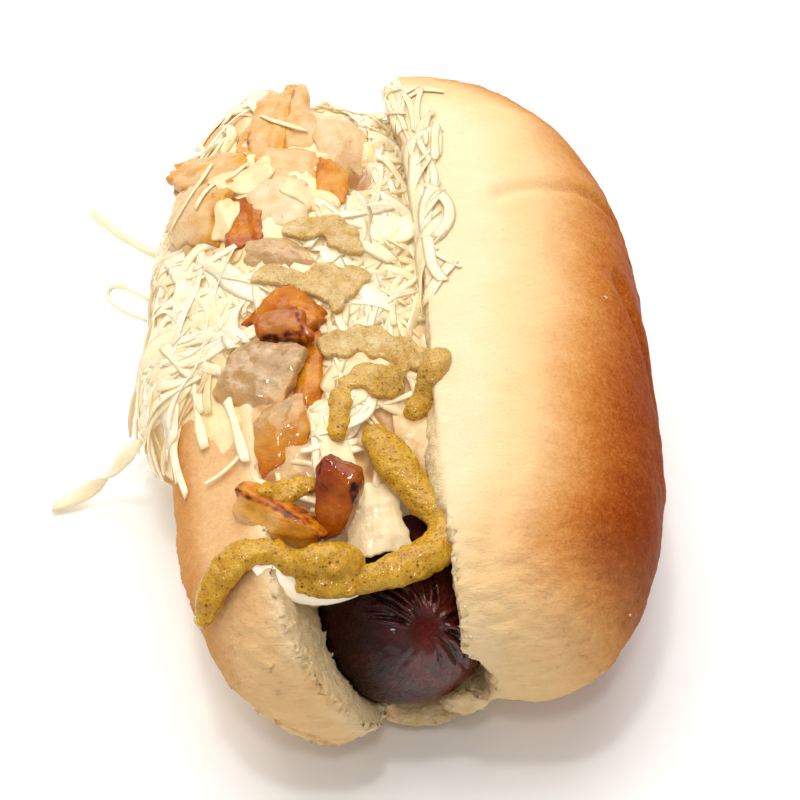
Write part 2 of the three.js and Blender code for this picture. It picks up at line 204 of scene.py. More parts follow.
def smoothstep(low, high, value):
    t = np.clip((value - low) / (high - low), 0, 1)
    return t * t * (3 - 2 * t)


def bump_of(value, width):
    """A soft bump: 1 where value is 0, and fading to 0 over width."""
    return np.exp(-((value / width) ** 2))


def away_from(points, line):
    """How far each point lies from a line of corners."""
    corners = np.asarray(line, float)
    best = np.full(len(points), 1e9)
    for a, b in zip(corners[:-1], corners[1:]):
        ab = b - a
        t = np.clip((points - a) @ ab / (ab @ ab), 0, 1)
        best = np.minimum(best, np.linalg.norm(points - a - t[:, None] * ab, axis=1))
    return best


def smooth_line(corners, steps):
    """An even row of points on a smooth curve through corners."""
    corners = np.asarray(corners, float)
    padded = np.vstack([2 * corners[0] - corners[1], corners, 2 * corners[-1] - corners[-2]])
    row = []
    for a, b, c, d in zip(padded, padded[1:], padded[2:], padded[3:]):
        for t in np.linspace(0, 1, 13)[:-1]:
            row.append(0.5 * (2 * b + (c - a) * t + (2 * a - 5 * b + 4 * c - d) * t * t
                              + (3 * b - a - 3 * c + d) * t ** 3))
    row = np.array(row + [corners[-1]])
    reach = np.r_[0, np.cumsum(np.linalg.norm(np.diff(row, axis=0), axis=1))]
    even = np.linspace(0, reach[-1], steps)
    return np.stack([np.interp(even, reach, row[:, k]) for k in range(3)], axis=1)


def leaned(points, lean, foot):
    """Points leaned about Y and then moved."""
    x = points[:, 0] * math.cos(lean) + points[:, 2] * math.sin(lean)
    z = -points[:, 0] * math.sin(lean) + points[:, 2] * math.cos(lean)
    return np.stack([x, points[:, 1], z], axis=1) + foot


def unleaned(points, lean, foot):
    return leaned(points - foot, -lean, np.zeros(3))


def rounded(points, size, section, ends):
    """A cube's points moved out to a block that is rounded by two exponents."""
    x, y, z = np.abs(points).T
    across = x ** section + z ** section
    reach = (across ** (ends / section) + y ** ends) ** (1 / ends)
    return points / reach[:, None] * np.asarray(size) / 2


def rounded_block(name, size, middle, section, ends, cuts):
    piece = block(name, cuts)
    put_points(piece, rounded(points_of(piece), size, section, ends) + np.asarray(middle))
    return piece


# ---------------------------------------------------------------- the sausage

def sausage_outline(grow):
    """Distance from the axis and place along it, from the near tip to the far one."""
    radius = SAUSAGE_RADIUS + grow
    half = SAUSAGE_LENGTH / 2 + grow
    turn = np.linspace(0, math.pi / 2, 160)
    r = radius * np.sin(turn) ** BLUNTNESS
    y = -half + radius * SHOULDER * (1 - np.cos(turn))
    return np.r_[r, r[::-1]], np.r_[y, -y[::-1]]


def swing(ways, axis, angle):
    """Unit vectors turned about an axis, each by its own angle."""
    cos, sin = np.cos(angle)[:, None], np.sin(angle)[:, None]
    return (ways * cos + np.cross(np.broadcast_to(axis, ways.shape), ways) * sin
            + axis * (ways @ axis)[:, None] * (1 - cos))


def sausage_body(name, around, rings, grow):
    """The sausage's closed form. Its rings gather at the knot of the near tip."""
    bpy.ops.mesh.primitive_uv_sphere_add(segments=around, ring_count=rings, radius=MM)
    piece = named(bpy.context.object, name)
    p = points_of(piece)
    turn = np.arctan2(p[:, 1], p[:, 0])
    t = np.arcsin(np.clip(p[:, 2], -1, 1)) / math.pi + 0.5
    r, y = sausage_outline(grow)
    reach = np.r_[0, np.cumsum(np.hypot(np.diff(r), np.diff(y)))]
    along = reach[-1] * (0.26 * t + 0.74 * t ** 2.2)
    radius = np.interp(along, reach, r)
    place = np.interp(along, reach, y)
    # Near the tip the rings swing up about the middle of its rounding, onto the knot.
    middle = -(SAUSAGE_LENGTH / 2 + grow) + (SAUSAGE_RADIUS + grow) * SHOULDER
    ways = np.stack([radius * np.cos(turn), place - middle, -radius * np.sin(turn)], axis=1)
    ways /= np.linalg.norm(ways, axis=1)[:, None]
    from_tip = np.degrees(np.arccos(np.clip(-ways[:, 1], -1, 1)))
    facing = NEAR_KNOT[1] / np.linalg.norm(NEAR_KNOT[1])
    axis = np.cross((0.0, -1.0, 0.0), facing)
    tilt = math.asin(np.linalg.norm(axis))
    swung = swing(ways, axis / np.linalg.norm(axis), tilt * (1 - smoothstep(0, 95, from_tip)))
    swung_angle = np.arctan2(np.hypot(swung[:, 0], swung[:, 2]), -swung[:, 1])
    angles = np.arctan2(r, middle - y)
    near_cap = from_tip < 94
    radius = np.where(near_cap, np.interp(swung_angle, angles, r), radius)
    place = np.where(near_cap, np.interp(swung_angle, angles, y), place)
    turn = np.where(near_cap, np.arctan2(-swung[:, 2], swung[:, 0]), turn)
    z = -radius * np.sin(turn) + SAUSAGE_BOTTOM + SAUSAGE_RADIUS
    z += SAUSAGE_RISE * (place / (SAUSAGE_LENGTH / 2)) ** 2
    put_points(piece, np.stack([radius * np.cos(turn), place, z], axis=1))
    return piece


# The knots, where the skin is gathered: the middle of the rounding and the way it faces.
NEAR_KNOT = (np.array((0.0, -54.6, 23.8)), np.array((0.17, -0.72, 0.67)))
FAR_KNOT = (np.array((0.0, 54.6, 23.8)), np.array((-0.1, 0.93, 0.36)))

# The folds about a knot: first and last turn and the step between folds in degrees, then
# where they start and end in millimetres, how deep and how wide they are, and their curl.
FOLDS = [
    (52, 146, 6.5, 3.0, 14.0, 0.7, 0.32, 0.02),
    (-62, 50, 10.5, 2.4, 13.0, 0.62, 0.5, -0.035),
    (-125, -64, 15.0, 2.2, 9.0, 0.4, 0.6, -0.02),
    (146, 232, 17.0, 2.6, 8.0, 0.16, 0.5, 0.0),
]
FURROW = [(-6.5, 8.0), (-4.0, 3.6), (-2.9, -0.6), (-2.5, -5.0), (-1.0, -10.5)]


def knot_axes(facing):
    facing = facing / np.linalg.norm(facing)
    right = np.cross((0, 0, 1), facing)
    right /= np.linalg.norm(right)
    return right, np.cross(facing, right), facing


def fold_depth(turn, away):
    """How deep the folds are at a turn about the knot, and at a distance from it."""
    depth = np.zeros(len(turn))
    for first, last, step, start, end, deep, wide, curl in FOLDS:
        angle = first
        while angle < last:
            begin = start * random.uniform(0.8, 1.5)
            finish = end * random.uniform(0.6, 1.1)
            own = math.radians(angle + random.uniform(-0.25, 0.25) * step)
            bent = own + (curl + random.gauss(0, 0.012)) * (away - begin)
            off = np.arctan2(np.sin(turn - bent), np.cos(turn - bent)) * away
            reach = smoothstep(begin - 0.8, begin + 1.6, away)
            reach *= 1 - smoothstep(finish - 4, finish, away)
            own_depth = deep * random.uniform(0.55, 1.15)
            own_width = wide * random.uniform(0.75, 1.25)
            depth += own_depth * reach * (np.exp(-np.abs(off / own_width) ** 1.5)
                                          - 0.45 * bump_of(np.abs(off) - 2.2 * own_width,
                                                           own_width))
            angle += step
    return depth


def make_sausage():
    sausage = sausage_body("grilled_sausage", 236, 270, 0)
    random.seed(5)
    p = points_of(sausage)
    move = unevenness(p, 13) * 0.25 + grain(p, 4.5, 3) * 0.14 + grain(p, 1.4, 4) * 0.05
    fold_shade = np.zeros(len(p))
    red = np.zeros(len(p))
    for middle, facing in (NEAR_KNOT, FAR_KNOT):
        right, up, out = knot_axes(facing)
        v = p - middle
        across, over, ahead = v @ right, v @ up, v @ out
        away = np.arctan2(np.hypot(across, over), ahead) * SAUSAGE_RADIUS
        turn = np.arctan2(over, across)
        here = away < 26
        deep = np.where(here, fold_depth(turn, away), 0)
        flat = np.stack([away * np.cos(turn), away * np.sin(turn), 0 * away], axis=1)
        furrow = bump_of(away_from(flat, [(x, y, 0) for x, y in FURROW]), 1.5) * here
        left = smoothstep(-0.2, 0.6, -np.cos(turn)) * bump_of(away - 11, 6)
        move += left * grain(p, 1.1, 8) * 0.1
        move -= deep + 0.55 * furrow + 1.0 * bump_of(away, 2.0)
        move += 0.45 * bump_of(away, 0.75) + 0.3 * bump_of(away - 4.2, 1.6)
        fold_shade += np.clip(deep, 0, 1) + 0.3 * furrow
        red += bump_of(np.hypot(flat[:, 0] + 1.9, (flat[:, 1] + 7.0) / 2.4), 1.5)
        red += 0.35 * bump_of(away, 3.2)
        if middle is NEAR_KNOT[0]:
            paint(sausage, "round_x", np.cos(turn))
            paint(sausage, "round_y", np.sin(turn))
            paint(sausage, "away", np.minimum(away, 40))
    push(sausage, move)
    # Painted shade: the skin's colour is darkened along the folds and the furrow, where shade
    # falls.
    paint(sausage, "fold", fold_shade)
    paint(sausage, "red", red)
    return shaded(sausage)


# ---------------------------------------------------------------- the roll

CREASES = [  # corners of each crease, its depth and its width
    ([(24, 25.5, 51.8), (27.3, 27.5, 51.2), (32.5, 29.7, 49.8), (36.7, 31, 48.2),
      (42, 32.4, 44.8), (45.1, 32.3, 41.7), (47.9, 31.4, 37.5), (49.6, 26, 34.5),
      (50.6, 20, 31)], 0.9, 1.3),
    ([(45.8, 9, 42.6), (46.8, 5.7, 41.3), (47.8, 1.8, 39.6), (48.9, -2.8, 37.4),
      (49.8, -9, 35), (50.3, -16, 33), (50.4, -24, 31.5), (50, -30, 31)], 1.1, 1.5),
    ([(16.5, -51, 48.6), (16.2, -54.5, 48), (14.6, -59, 46.3), (13.4, -62.5, 44.6)],
     0.55, 1.6),
    ([(14.5, -66.5, 42), (18, -68.5, 39.5), (22.5, -69.5, 37)], 0.35, 1.3),
    ([(24, -69.5, 36), (28.5, -70.8, 33), (33, -70.2, 30.5)], 0.4, 1.4),
    ([(30, -66, 37.5), (34.5, -66.5, 33.5), (39, -64, 30)], 0.35, 1.5),
]
RIM = [(-39.5, -40, 30), (-38.6, -48, 30), (-37, -55, 30.3), (-33.7, -64.9, 29.8),
       (-27.9, -71.4, 24.9), (-21.2, -74.2, 19.2), (-13.3, -73.1, 11.5), (-6, -71, 5)]


def near_skew(q):
    """How far the near end of the high half is drawn in at its foot and out at its side."""
    low = 1 - smoothstep(15, 40, q[:, 2])
    inner = 4.5 * (1 - smoothstep(2, 16, q[:, 0]))
    outer = 2.5 * smoothstep(12, 28, q[:, 0])
    return smoothstep(40, 78, -q[:, 1]) * low * (inner - outer)


def loaf_half(name, is_dome):
    """Half of the loaf, lying with its cut on the local plane x = 0."""
    half = block(name, 64)
    p = points_of(half)
    thickness = DOME_THICKNESS if is_dome else BASE_THICKNESS
    size = (2 * thickness, LOAF_LENGTH, LOAF_WIDTH)
    section = 2.15 if is_dome else 3.1
    ends = np.where(p[:, 1] > 0, 3.2, 2.9) if is_dome else 3.0
    q = rounded(p, size, section, ends)
    outward = q / np.linalg.norm(q, axis=1)[:, None]
    q += outward * (unevenness(q, 17) * 0.6)[:, None]
    q[:, 2] += LOAF_WIDTH / 2 - HINGE_DEPTH
    if is_dome:
        q[:, 0] -= 8 * np.clip((q[:, 1] - 15) / 60, 0, 1) ** 2
        q[:, 1] += near_skew(q)
    put_points(half, q)
    only(half)
    bpy.ops.object.mode_set(mode="EDIT")
    bpy.ops.mesh.select_all(action="SELECT")
    slant = 0 if is_dome else KNIFE_SLANT
    knife = (math.cos(slant), 0, -math.sin(slant))
    bpy.ops.mesh.bisect(plane_co=(0, 0, 0), plane_no=knife, use_fill=True,
                        clear_inner=is_dome, clear_outer=not is_dome)
    bpy.ops.object.mode_set(mode="OBJECT")
    lean, foot = (DOME_LEAN, DOME_FOOT) if is_dome else (BASE_LEAN, BASE_FOOT)
    put_points(half, leaned(points_of(half), lean, foot))
    return half


def loaf_place(points, is_dome):
    """Where points lie in a half: through it, along it and up it, and how near its crust."""
    lean, foot = (DOME_LEAN, DOME_FOOT) if is_dome else (BASE_LEAN, BASE_FOOT)
    q = unleaned(points, lean, foot)
    if is_dome:
        q[:, 1] -= near_skew(q)
        q[:, 0] += 8 * np.clip((q[:, 1] - 15) / 60, 0, 1) ** 2
    thickness = DOME_THICKNESS if is_dome else BASE_THICKNESS
    section = 2.15 if is_dome else 3.1
    x = np.abs(q[:, 0]) / thickness
    y = np.abs(q[:, 1]) / (LOAF_LENGTH / 2)
    z = np.abs(q[:, 2] + HINGE_DEPTH - LOAF_WIDTH / 2) / (LOAF_WIDTH / 2)
    reach = ((x ** section + z ** section) ** (3 / section) + y ** 3) ** (1 / 3)
    through = q[:, 0] if is_dome else -q[:, 0] + q[:, 2] * math.tan(KNIFE_SLANT)
    return through, q[:, 1], q[:, 2], reach


# How much further through the high half the browning starts, at places along it
BAKE_PLACES = (-77, -75, -70, -64, -55, -45, -34, -23, -10, 4, 20, 35, 55, 66, 76)
BAKE_SHIFTS = (-5.5, -6.5, -9.0, -11, -8.6, -4.6, -1.1, 0.2, 1.9, 3.7, 5.8, 7.2, 5.4, -3, -14)


def make_roll(sausage_room):
    mouth = rounded_block("mouth", (30.4, 30, 31), (0.4, -69.5, 21.8), 2, 2, 24)
    halves = [loaf_half("dome", True), loaf_half("base", False)]
    halves.append(rounded_block("web", (40, 133, 12.5), (3.5, 1, 5.2), 2.2, 2.6, 40))
    for half in halves:
        hollows = (sausage_room,) if half.name == "base" else (sausage_room, mouth)
        for hollow in hollows:
            modify(half, "BOOLEAN", operation="DIFFERENCE", object=hollow,
                   solver="MANIFOLD")
    removed(mouth)
    # Bread torn loose along the cut: a ridge inside the lip, and a flap at the near end.
    halves.append(rounded_block("ridge", (6.4, 27, 10), (8.2, -38, 45.6), 2, 2.2, 12))
    halves.append(rounded_block("flap", (9, 3.4, 5.4), (10.4, -68.5, 15.5), 2, 2, 8))
    roll = fused(joined(halves, "soft_roll"), 0.72, 3)

    p = points_of(roll)
    move = grain(p, 16, 1) * 0.5 + grain(p, 6, 2) * 0.16
    dome_in, dome_y, dome_z, dome_reach = loaf_place(p, True)
    base_in, base_y, base_z, base_reach = loaf_place(p, False)
    on_dome = (dome_in > -1.5) & (dome_reach > 0.5) & (p[:, 0] > 4)
    crust = np.where(on_dome, smoothstep(0.93, 0.975, dome_reach) * smoothstep(-0.5, 0.9, dome_in),
                     smoothstep(0.92, 0.97, base_reach) * smoothstep(-0.5, 0.9, base_in))
    # The near ends are soft, pale and crinkled.
    near = smoothstep(48, 68, -p[:, 1])
    far = smoothstep(58, 72, p[:, 1])
    crinkle = grain(p, (4.5, 2.2, 2.2), 4, 3)
    creased = 1 - 2.2 * np.abs(grain(p, (7.0, 3.4, 3.4), 44, 2))
    move += crust * (0.1 + 0.26 * near + 0.12 * far) * crinkle
    move -= crust * (0.06 + 0.24 * near + 0.1 * far) * smoothstep(0.55, 1.0, creased)
    move += crust * grain(p, 1.3, 45) * 0.035
    # The cut faces are open crumb.
    crumb = 1 - crust
    move += crumb * (grain(p, 2.4, 7, 3) * 0.42 + grain(p, 0.9, 8, 2) * 0.12)
    for line, depth, width in CREASES:
        away = away_from(p, line)
        move -= depth * bump_of(away, width)
        move += 0.35 * depth * bump_of(away - 2.6 * width, 1.6 * width)
    for spot, tall, wide in BLISTERS:
        move += tall * bump_of(np.linalg.norm(p - spot, axis=1), wide)
    rim = bump_of(away_from(p, RIM), 1.3)
    move += rim * (0.25 + 0.4 * grain(p, 1.4, 12))
    move -= 0.7 * on_dome * bump_of(dome_in, 2.0) * smoothstep(0.9, 0.96, dome_reach) * smoothstep(
        -30, 0, p[:, 1])
    # The near end of the low half is dry and crumbly.
    crumbly = ~on_dome * smoothstep(60, 68, -p[:, 1]) * (p[:, 2] > 2)
    move += crumbly * (grain(p, 1.7, 46, 3) * 0.24 + grain(p, 0.8, 47, 2) * 0.12)
    push(roll, move)
    # The torn edges of both cuts are ragged.
    convex = sharp_edges(roll)
    q = points_of(roll)
    ragged = convex * smoothstep(40, 54, -q[:, 1]) * (q[:, 2] > 3)
    tear = np.stack([grain(q, 0.8, 50), grain(q, 0.8, 51), grain(q, 0.8, 52)], axis=1)
    q += tear * ragged[:, None] * 1.0
    # The far corner of the high half leans in over the heap.
    lip = smoothstep(34, 58, q[:, 1]) * (1 - 0.5 * smoothstep(62, 76, q[:, 1]))
    q[:, 0] -= 3.6 * lip * smoothstep(28, 46, q[:, 2]) * (q[:, 0] > 5) * smoothstep(30, 10, q[:, 0])
    q[:, 2] = np.maximum(q[:, 2], 0)
    put_points(roll, q)

    # How far each place is baked: pale at the lips and ends, and brown at the crown.
    patch = grain(p, 22, 14) * 1.4 + grain(p, 8, 15) * 1.1
    # The high half pales towards its ends. At the near end this is partly less baking and partly
    # painted light, which brightens it.
    fade = 1 - 0.12 * smoothstep(64, 78, p[:, 1]) - 0.45 * smoothstep(56, 74, -p[:, 1])
    shift = np.interp(p[:, 1], BAKE_PLACES, BAKE_SHIFTS)
    dome_bake = smoothstep(5, 44, dome_in - shift + patch) * fade
    base_bake = smoothstep(3, 19, base_in + patch) * 0.56
    base_bake *= 1 - 0.5 * smoothstep(12, 20, base_in) * smoothstep(22, 6, p[:, 2])
    base_bake = np.maximum(base_bake, 0.36 * smoothstep(0, 5, base_in))
    # The low half pales towards its near end and its foot: partly less baking, and partly painted
    # light for its bright, backlit lower edge.
    base_bake *= 1 - 0.3 * smoothstep(60, 74, -p[:, 1]) - 0.35 * smoothstep(26, 12, p[:, 2])
    bake = np.where(on_dome, dome_bake, base_bake)
    bake = np.maximum(bake, rim * 0.55 * ~on_dome) * crust
    smudge = bump_of(np.linalg.norm((p - (-15.5, -71, 30.5)) / (6.5, 6, 5), axis=1), 1)
    bake = np.maximum(bake, smudge * (0.5 + 0.16 * grain(p, 2.5, 16)))
    paint(roll, "bake", bake)
    paint(roll, "crust", crust)
    paint(roll, "near_end", np.maximum(near, far))
    return shaded(roll)


BLISTERS = [  # where the skin is raised, how high and how wide
    (np.array((26.4, -70.9, 32.6)), 0.5, 2.2),
    (np.array((34.0, -69.5, 31.0)), 0.4, 2.6),
    (np.array((18.5, -71.5, 36.0)), 0.3, 2.8),
    (np.array((41.9, 1.9, 45.8)), 0.25, 0.8),
]


def sharp_edges(piece):
    """How sharply the surface turns outwards at each vertex, from 0 to 1."""
    count = len(piece.data.edges)
    ends = np.empty(count * 2, int)
    piece.data.edges.foreach_get("vertices", ends)
    a, b = ends.reshape(-1, 2).T
    p, n = points_of(piece), normals_of(piece)
    turned = 1 - (n[a] * n[b]).sum(axis=1)
    outward = ((p[b] - p[a]) * (n[b] - n[a])).sum(axis=1) > 0
    turned = np.where(outward, turned, 0)
    sharp = np.zeros(len(p))
    np.maximum.at(sharp, a, turned)
    np.maximum.at(sharp, b, turned)
    return smoothstep(0.03, 0.16, sharp)


def make_torn_crumbs(roll):
    """Ragged bits of crumb along the torn edges, each half sunk in the bread."""
    random.seed(31)
    bpy.ops.mesh.primitive_ico_sphere_add(subdivisions=1, radius=MM)
    seed_crumb = bpy.context.object
    shape = points_of(seed_crumb)
    shape_faces = [list(face.vertices) for face in seed_crumb.data.polygons]
    removed(seed_crumb)
    p, n = points_of(roll), normals_of(roll)
    edge = sharp_edges(roll) * smoothstep(44, 58, -p[:, 1]) * (p[:, 2] > 3)
    spots = [k for k in np.nonzero(edge > 0.4)[0] if random.random() < 0.06]
    rim = away_from(p, RIM)
    spots += [k for k in np.nonzero(rim < 0.9)[0] if random.random() < 0.015]
    stray = (p[:, 1] < -40) & (p[:, 2] > 6)
    spots += [k for k in np.nonzero(stray)[0] if random.random() < 0.0002]
    points, faces = [], []
    for k in spots:
        size = 0.1 + 0.24 * random.random() ** 2.2
        turned = np.array(Euler([random.uniform(0, 6.3) for _ in range(3)]).to_matrix())
        ragged = shape * [[random.uniform(0.5, 1.4)] for _ in shape]
        ragged = ragged * (size * 1.7, size, size * 0.6) @ turned.T
        start = len(points)
        points.extend(ragged + p[k] + n[k] * size * 0.2)
        faces.extend([[v + start for v in face] for face in shape_faces])
    for spot in LOOSE_CRUMBS:
        start = len(points)
        points.extend(shape * (0.9, 0.7, 0.5) + spot)
        faces.extend([[v + start for v in face] for face in shape_faces])
    return shaded(from_arrays("torn_crumbs", points, faces))


LOOSE_CRUMBS = [(41.9, 1.9, 45.8), (-27.0, -68.2, 35.4)]


# ---------------------------------------------------------------- what carries what

def tree_of(pieces):
    """The surface of several pieces, in millimetres, to set things down on."""
    points, faces = [], []
    for piece in pieces:
        start = len(points)
        points.extend(points_of(piece).tolist())
        faces.extend([[v + start for v in face.vertices] for face in piece.data.polygons])
    return BVHTree.FromPolygons(points, faces)


def height_over(tree, x, y):
    hit = tree.ray_cast(Vector((x, y, 200)), Vector((0, 0, -1)))
    return hit[0].z if hit[0] else 0.0


# ---------------------------------------------------------------- sauerkraut

def make_core():
    """The heap under the shreds, a layer of shreds smaller than the whole heap."""
    mound = rounded_block("mound", (56, 124, 42), (-13, 8, 31), 2.2, 2.7, 30)
    spill = rounded_block("spill", (26, 88, 32), (-35, 12, 28), 2.1, 2.4, 24)
    front = rounded_block("front", (24, 28, 16), (-19, -46, 36), 2.2, 2.2, 16)
    for blob in (mound, spill, front):
        p = points_of(blob)
        p[:, 2] += unevenness(p, 7) * 1.6
        p[:, 0] += unevenness(p, 9) * 1.4
        if blob is spill:
            p[:, 0] += 3.2 * smoothstep(-4, 22, p[:, 1]) * smoothstep(-30, -44, p[:, 0])
            p[:, 0] += 4.0 * smoothstep(-10, -26, p[:, 1]) * smoothstep(-34, -44, p[:, 0])
        put_points(blob, p)
    core = fused(joined([mound, spill, front], "sauerkraut_heap"), 0.9, 2)
    push(core, np.full(len(core.data.vertices), -SHRED_LAYER))
    p = points_of(core)
    pit = bump_of(np.linalg.norm((p - PIT) * (1.0, 0.8, 0.4), axis=1), 4.2)
    p[:, 2] -= 5.5 * pit * (p[:, 2] > 38)
    # The long near petal lies in a dip.
    dip = bump_of(away_from(p * (1, 1, 0), [(-15.2, -9, 0), (-14.2, -28, 0)]), 4.0)
    p[:, 2] -= 2.4 * dip * (p[:, 2] > 38)
    put_points(core, p)
    ruffle(core, 4.5, 1.6)
    ruffle(core, 1.8, 0.6)
    p = points_of(core)
    # Painted shade: the core gets a dark amber tone in the pit and at the front of the heap, where
    # it shows through the shaded gaps between the shreds.
    near = smoothstep(-12, -22, p[:, 1]) * smoothstep(-30, -24, p[:, 0])
    paint(core, "tone", 0.25 + 2.4 * pit + 1.9 * near * (0.8 + 0.5 * grain(p, 3.0, 77)))
    return shaded(core)


PIT = np.array((-3.3, 37.6, 47.5))  # where the heap gapes beside the far onion


# The section of a shred: six corners, by its width and its thickness
SHRED_SECTION = ((-0.5, -0.05), (-0.3, 0.45), (0.22, 0.5), (0.5, 0.1), (0.3, -0.45), (-0.25, -0.5))


def flat_tube(path, normals, width, thickness):
    """A flat strand with rounded edges and slanting cut ends, along a path."""
    count = len(path)
    along = np.gradient(path, axis=0)
    along /= np.linalg.norm(along, axis=1)[:, None] + 1e-9
    side = np.cross(along, normals)
    side /= np.linalg.norm(side, axis=1)[:, None] + 1e-9
    over = np.cross(side, along)
    t = np.linspace(0, 1, count)
    twist = random.gauss(0, 0.35) * np.sin(math.pi * t * random.uniform(0.7, 1.6) + random.random())
    cos, sin = np.cos(twist)[:, None], np.sin(twist)[:, None]
    side, over = side * cos + over * sin, over * cos - side * sin
    taper = 0.55 + 0.45 * np.sin(math.pi * np.clip(t, 0.02, 0.98)) ** 0.3
    taper *= 1 + 0.14 * np.sin(t * random.uniform(5, 9) + random.uniform(0, 6))
    slant = np.zeros(count)
    slant[0], slant[-1] = random.uniform(-0.5, 0.5), random.uniform(-0.5, 0.5)
    cup = random.uniform(-0.15, 0.25)
    points = []
    for across, lift in SHRED_SECTION:
        at = path + side * (across * width * taper)[:, None]
        at = at + over * ((lift * thickness + cup * across * across * width) * taper)[:, None]
        points.append(at + along * (slant * across * width)[:, None])
    points = np.stack(points, axis=1).reshape(-1, 3)
    corners = len(SHRED_SECTION)
    faces = []
    for i in range(count - 1):
        for k in range(corners):
            a, b = i * corners + k, i * corners + (k + 1) % corners
            faces.append([a, b, b + corners, a + corners])
    faces.append(list(range(corners))[::-1])
    faces.append([(count - 1) * corners + k for k in range(corners)])
    return points, faces


def lay_strand(tree, start, heading, steps, step, bend, wander, rise, wave, sag):
    """Walks over a surface from a start, and gives the path and the way its flat side faces."""
    place = Vector(start)
    near, normal, _, _ = tree.find_nearest(place)
    way = Vector((math.cos(heading), math.sin(heading), 0))
    path, flats = [], []
    turn = 0.0
    for k in range(steps):
        near, normal, _, _ = tree.find_nearest(place)
        if near is None:
            break
        swell = wave * (0.5 + 0.5 * math.sin(k * 0.55 + start[0]))
        rest = near + normal * (rise + swell)
        if rest.z < 0.8:
            rest.z = 0.8
        path.append(tuple(rest))
        flats.append(tuple(normal))
        turn = 0.6 * turn + random.gauss(0, wander)
        way = way - normal * way.dot(normal)
        way += Vector((0, 0, -1)) * sag * (1 - abs(normal.z))
        way.normalize()
        across = normal.cross(way)
        way = (way + across * (bend + turn)).normalized()
        place = rest + way * step
    return np.array(path), np.array(flats)


def eased(rows, times):
    rows = rows.copy()
    for _ in range(times):
        rows[1:-1] = (rows[:-2] + 2 * rows[1:-1] + rows[2:]) / 4
    return rows


# Pale limp leaves over the onion: middle, yaw in degrees, length and width
LEAVES_ON_ONION = [
    (-25.5, 36.5, 20, 13, 8), (-13.0, 27.5, -35, 12, 6), (-29.5, 25.0, 60, 10, 5),
]
LONG_SHREDS = [  # the shreds that are seen one by one: their corners, width and thickness
    ([(-43, -2, 22), (-49, -5.5, 18), (-54.7, -3.5, 8.6), (-60, -3.5, 3.2), (-66.5, -5.0, 1.2)],
     3.2, 1.0),
    ([(-42, 34, 30), (-50, 38, 33), (-56, 46, 32), (-58, 52, 29)], 2.0, 0.8),
    ([(-42, 2, 33), (-45.4, -4, 27), (-46.4, -7, 20), (-45.6, -8.6, 14.5)], 3.6, 0.5),
    ([(-43, 6, 32), (-47, 1, 26.5), (-48.6, -1.5, 20), (-48.8, -1, 13)], 4.2, 0.5),
    ([(-39, -6, 38), (-43, -10.5, 29), (-43.4, -12, 21.5)], 3.2, 0.5),
    ([(-41, 10, 34), (-46.5, 7, 27), (-49.5, 4, 18), (-50.2, 3.2, 12)], 3.8, 0.5),
    ([(-39, -1, 39), (-44.2, -6, 29), (-46.4, -9.4, 22), (-45.0, -11.6, 16.5)], 2.2, 0.5),
    ([(-39.0, -12, 39), (-39.3, -18, 37.5), (-40.2, -23, 36.5), (-39.6, -28.5, 36.8),
      (-38.0, -35.5, 37.8)], 1.9, 0.7),
    ([(-40.4, -10, 38), (-40.4, -16, 36), (-40.8, -21, 34.8), (-40.2, -26, 35),
      (-39.8, -30.5, 35.6)], 1.6, 0.7),
    ([(-36.4, -12.5, 42.8), (-35.8, -19.5, 42.5), (-35.2, -24, 42.8), (-34.3, -28.6, 42.6)],
     2.6, 0.8),
    ([(-31.0, -17.5, 46.6), (-29.8, -21.5, 47), (-28.9, -26, 47.6), (-28, -31, 47.7),
      (-26.8, -36.8, 47.6)], 2.1, 0.6),
    ([(-34.4, -36.5, 41.8), (-32, -36.3, 43.4), (-29.4, -35.6, 45.6), (-26.8, -33.5, 47.2)],
     1.0, 0.4),
    ([(-45.4, 22, 31), (-49.4, 27.4, 29), (-52.8, 31.2, 26.4), (-54.2, 29.8, 24.6),
      (-51.0, 25.4, 25.0), (-46.4, 21.4, 26)], 1.3, 0.8),
    ([(-38.5, 18.5, 40.5), (-36.0, 21.4, 43.2), (-32.4, 22.6, 45.2), (-28.6, 20.4, 46.8),
      (-26.0, 16.2, 47.8)], 4.4, 1.2),
]


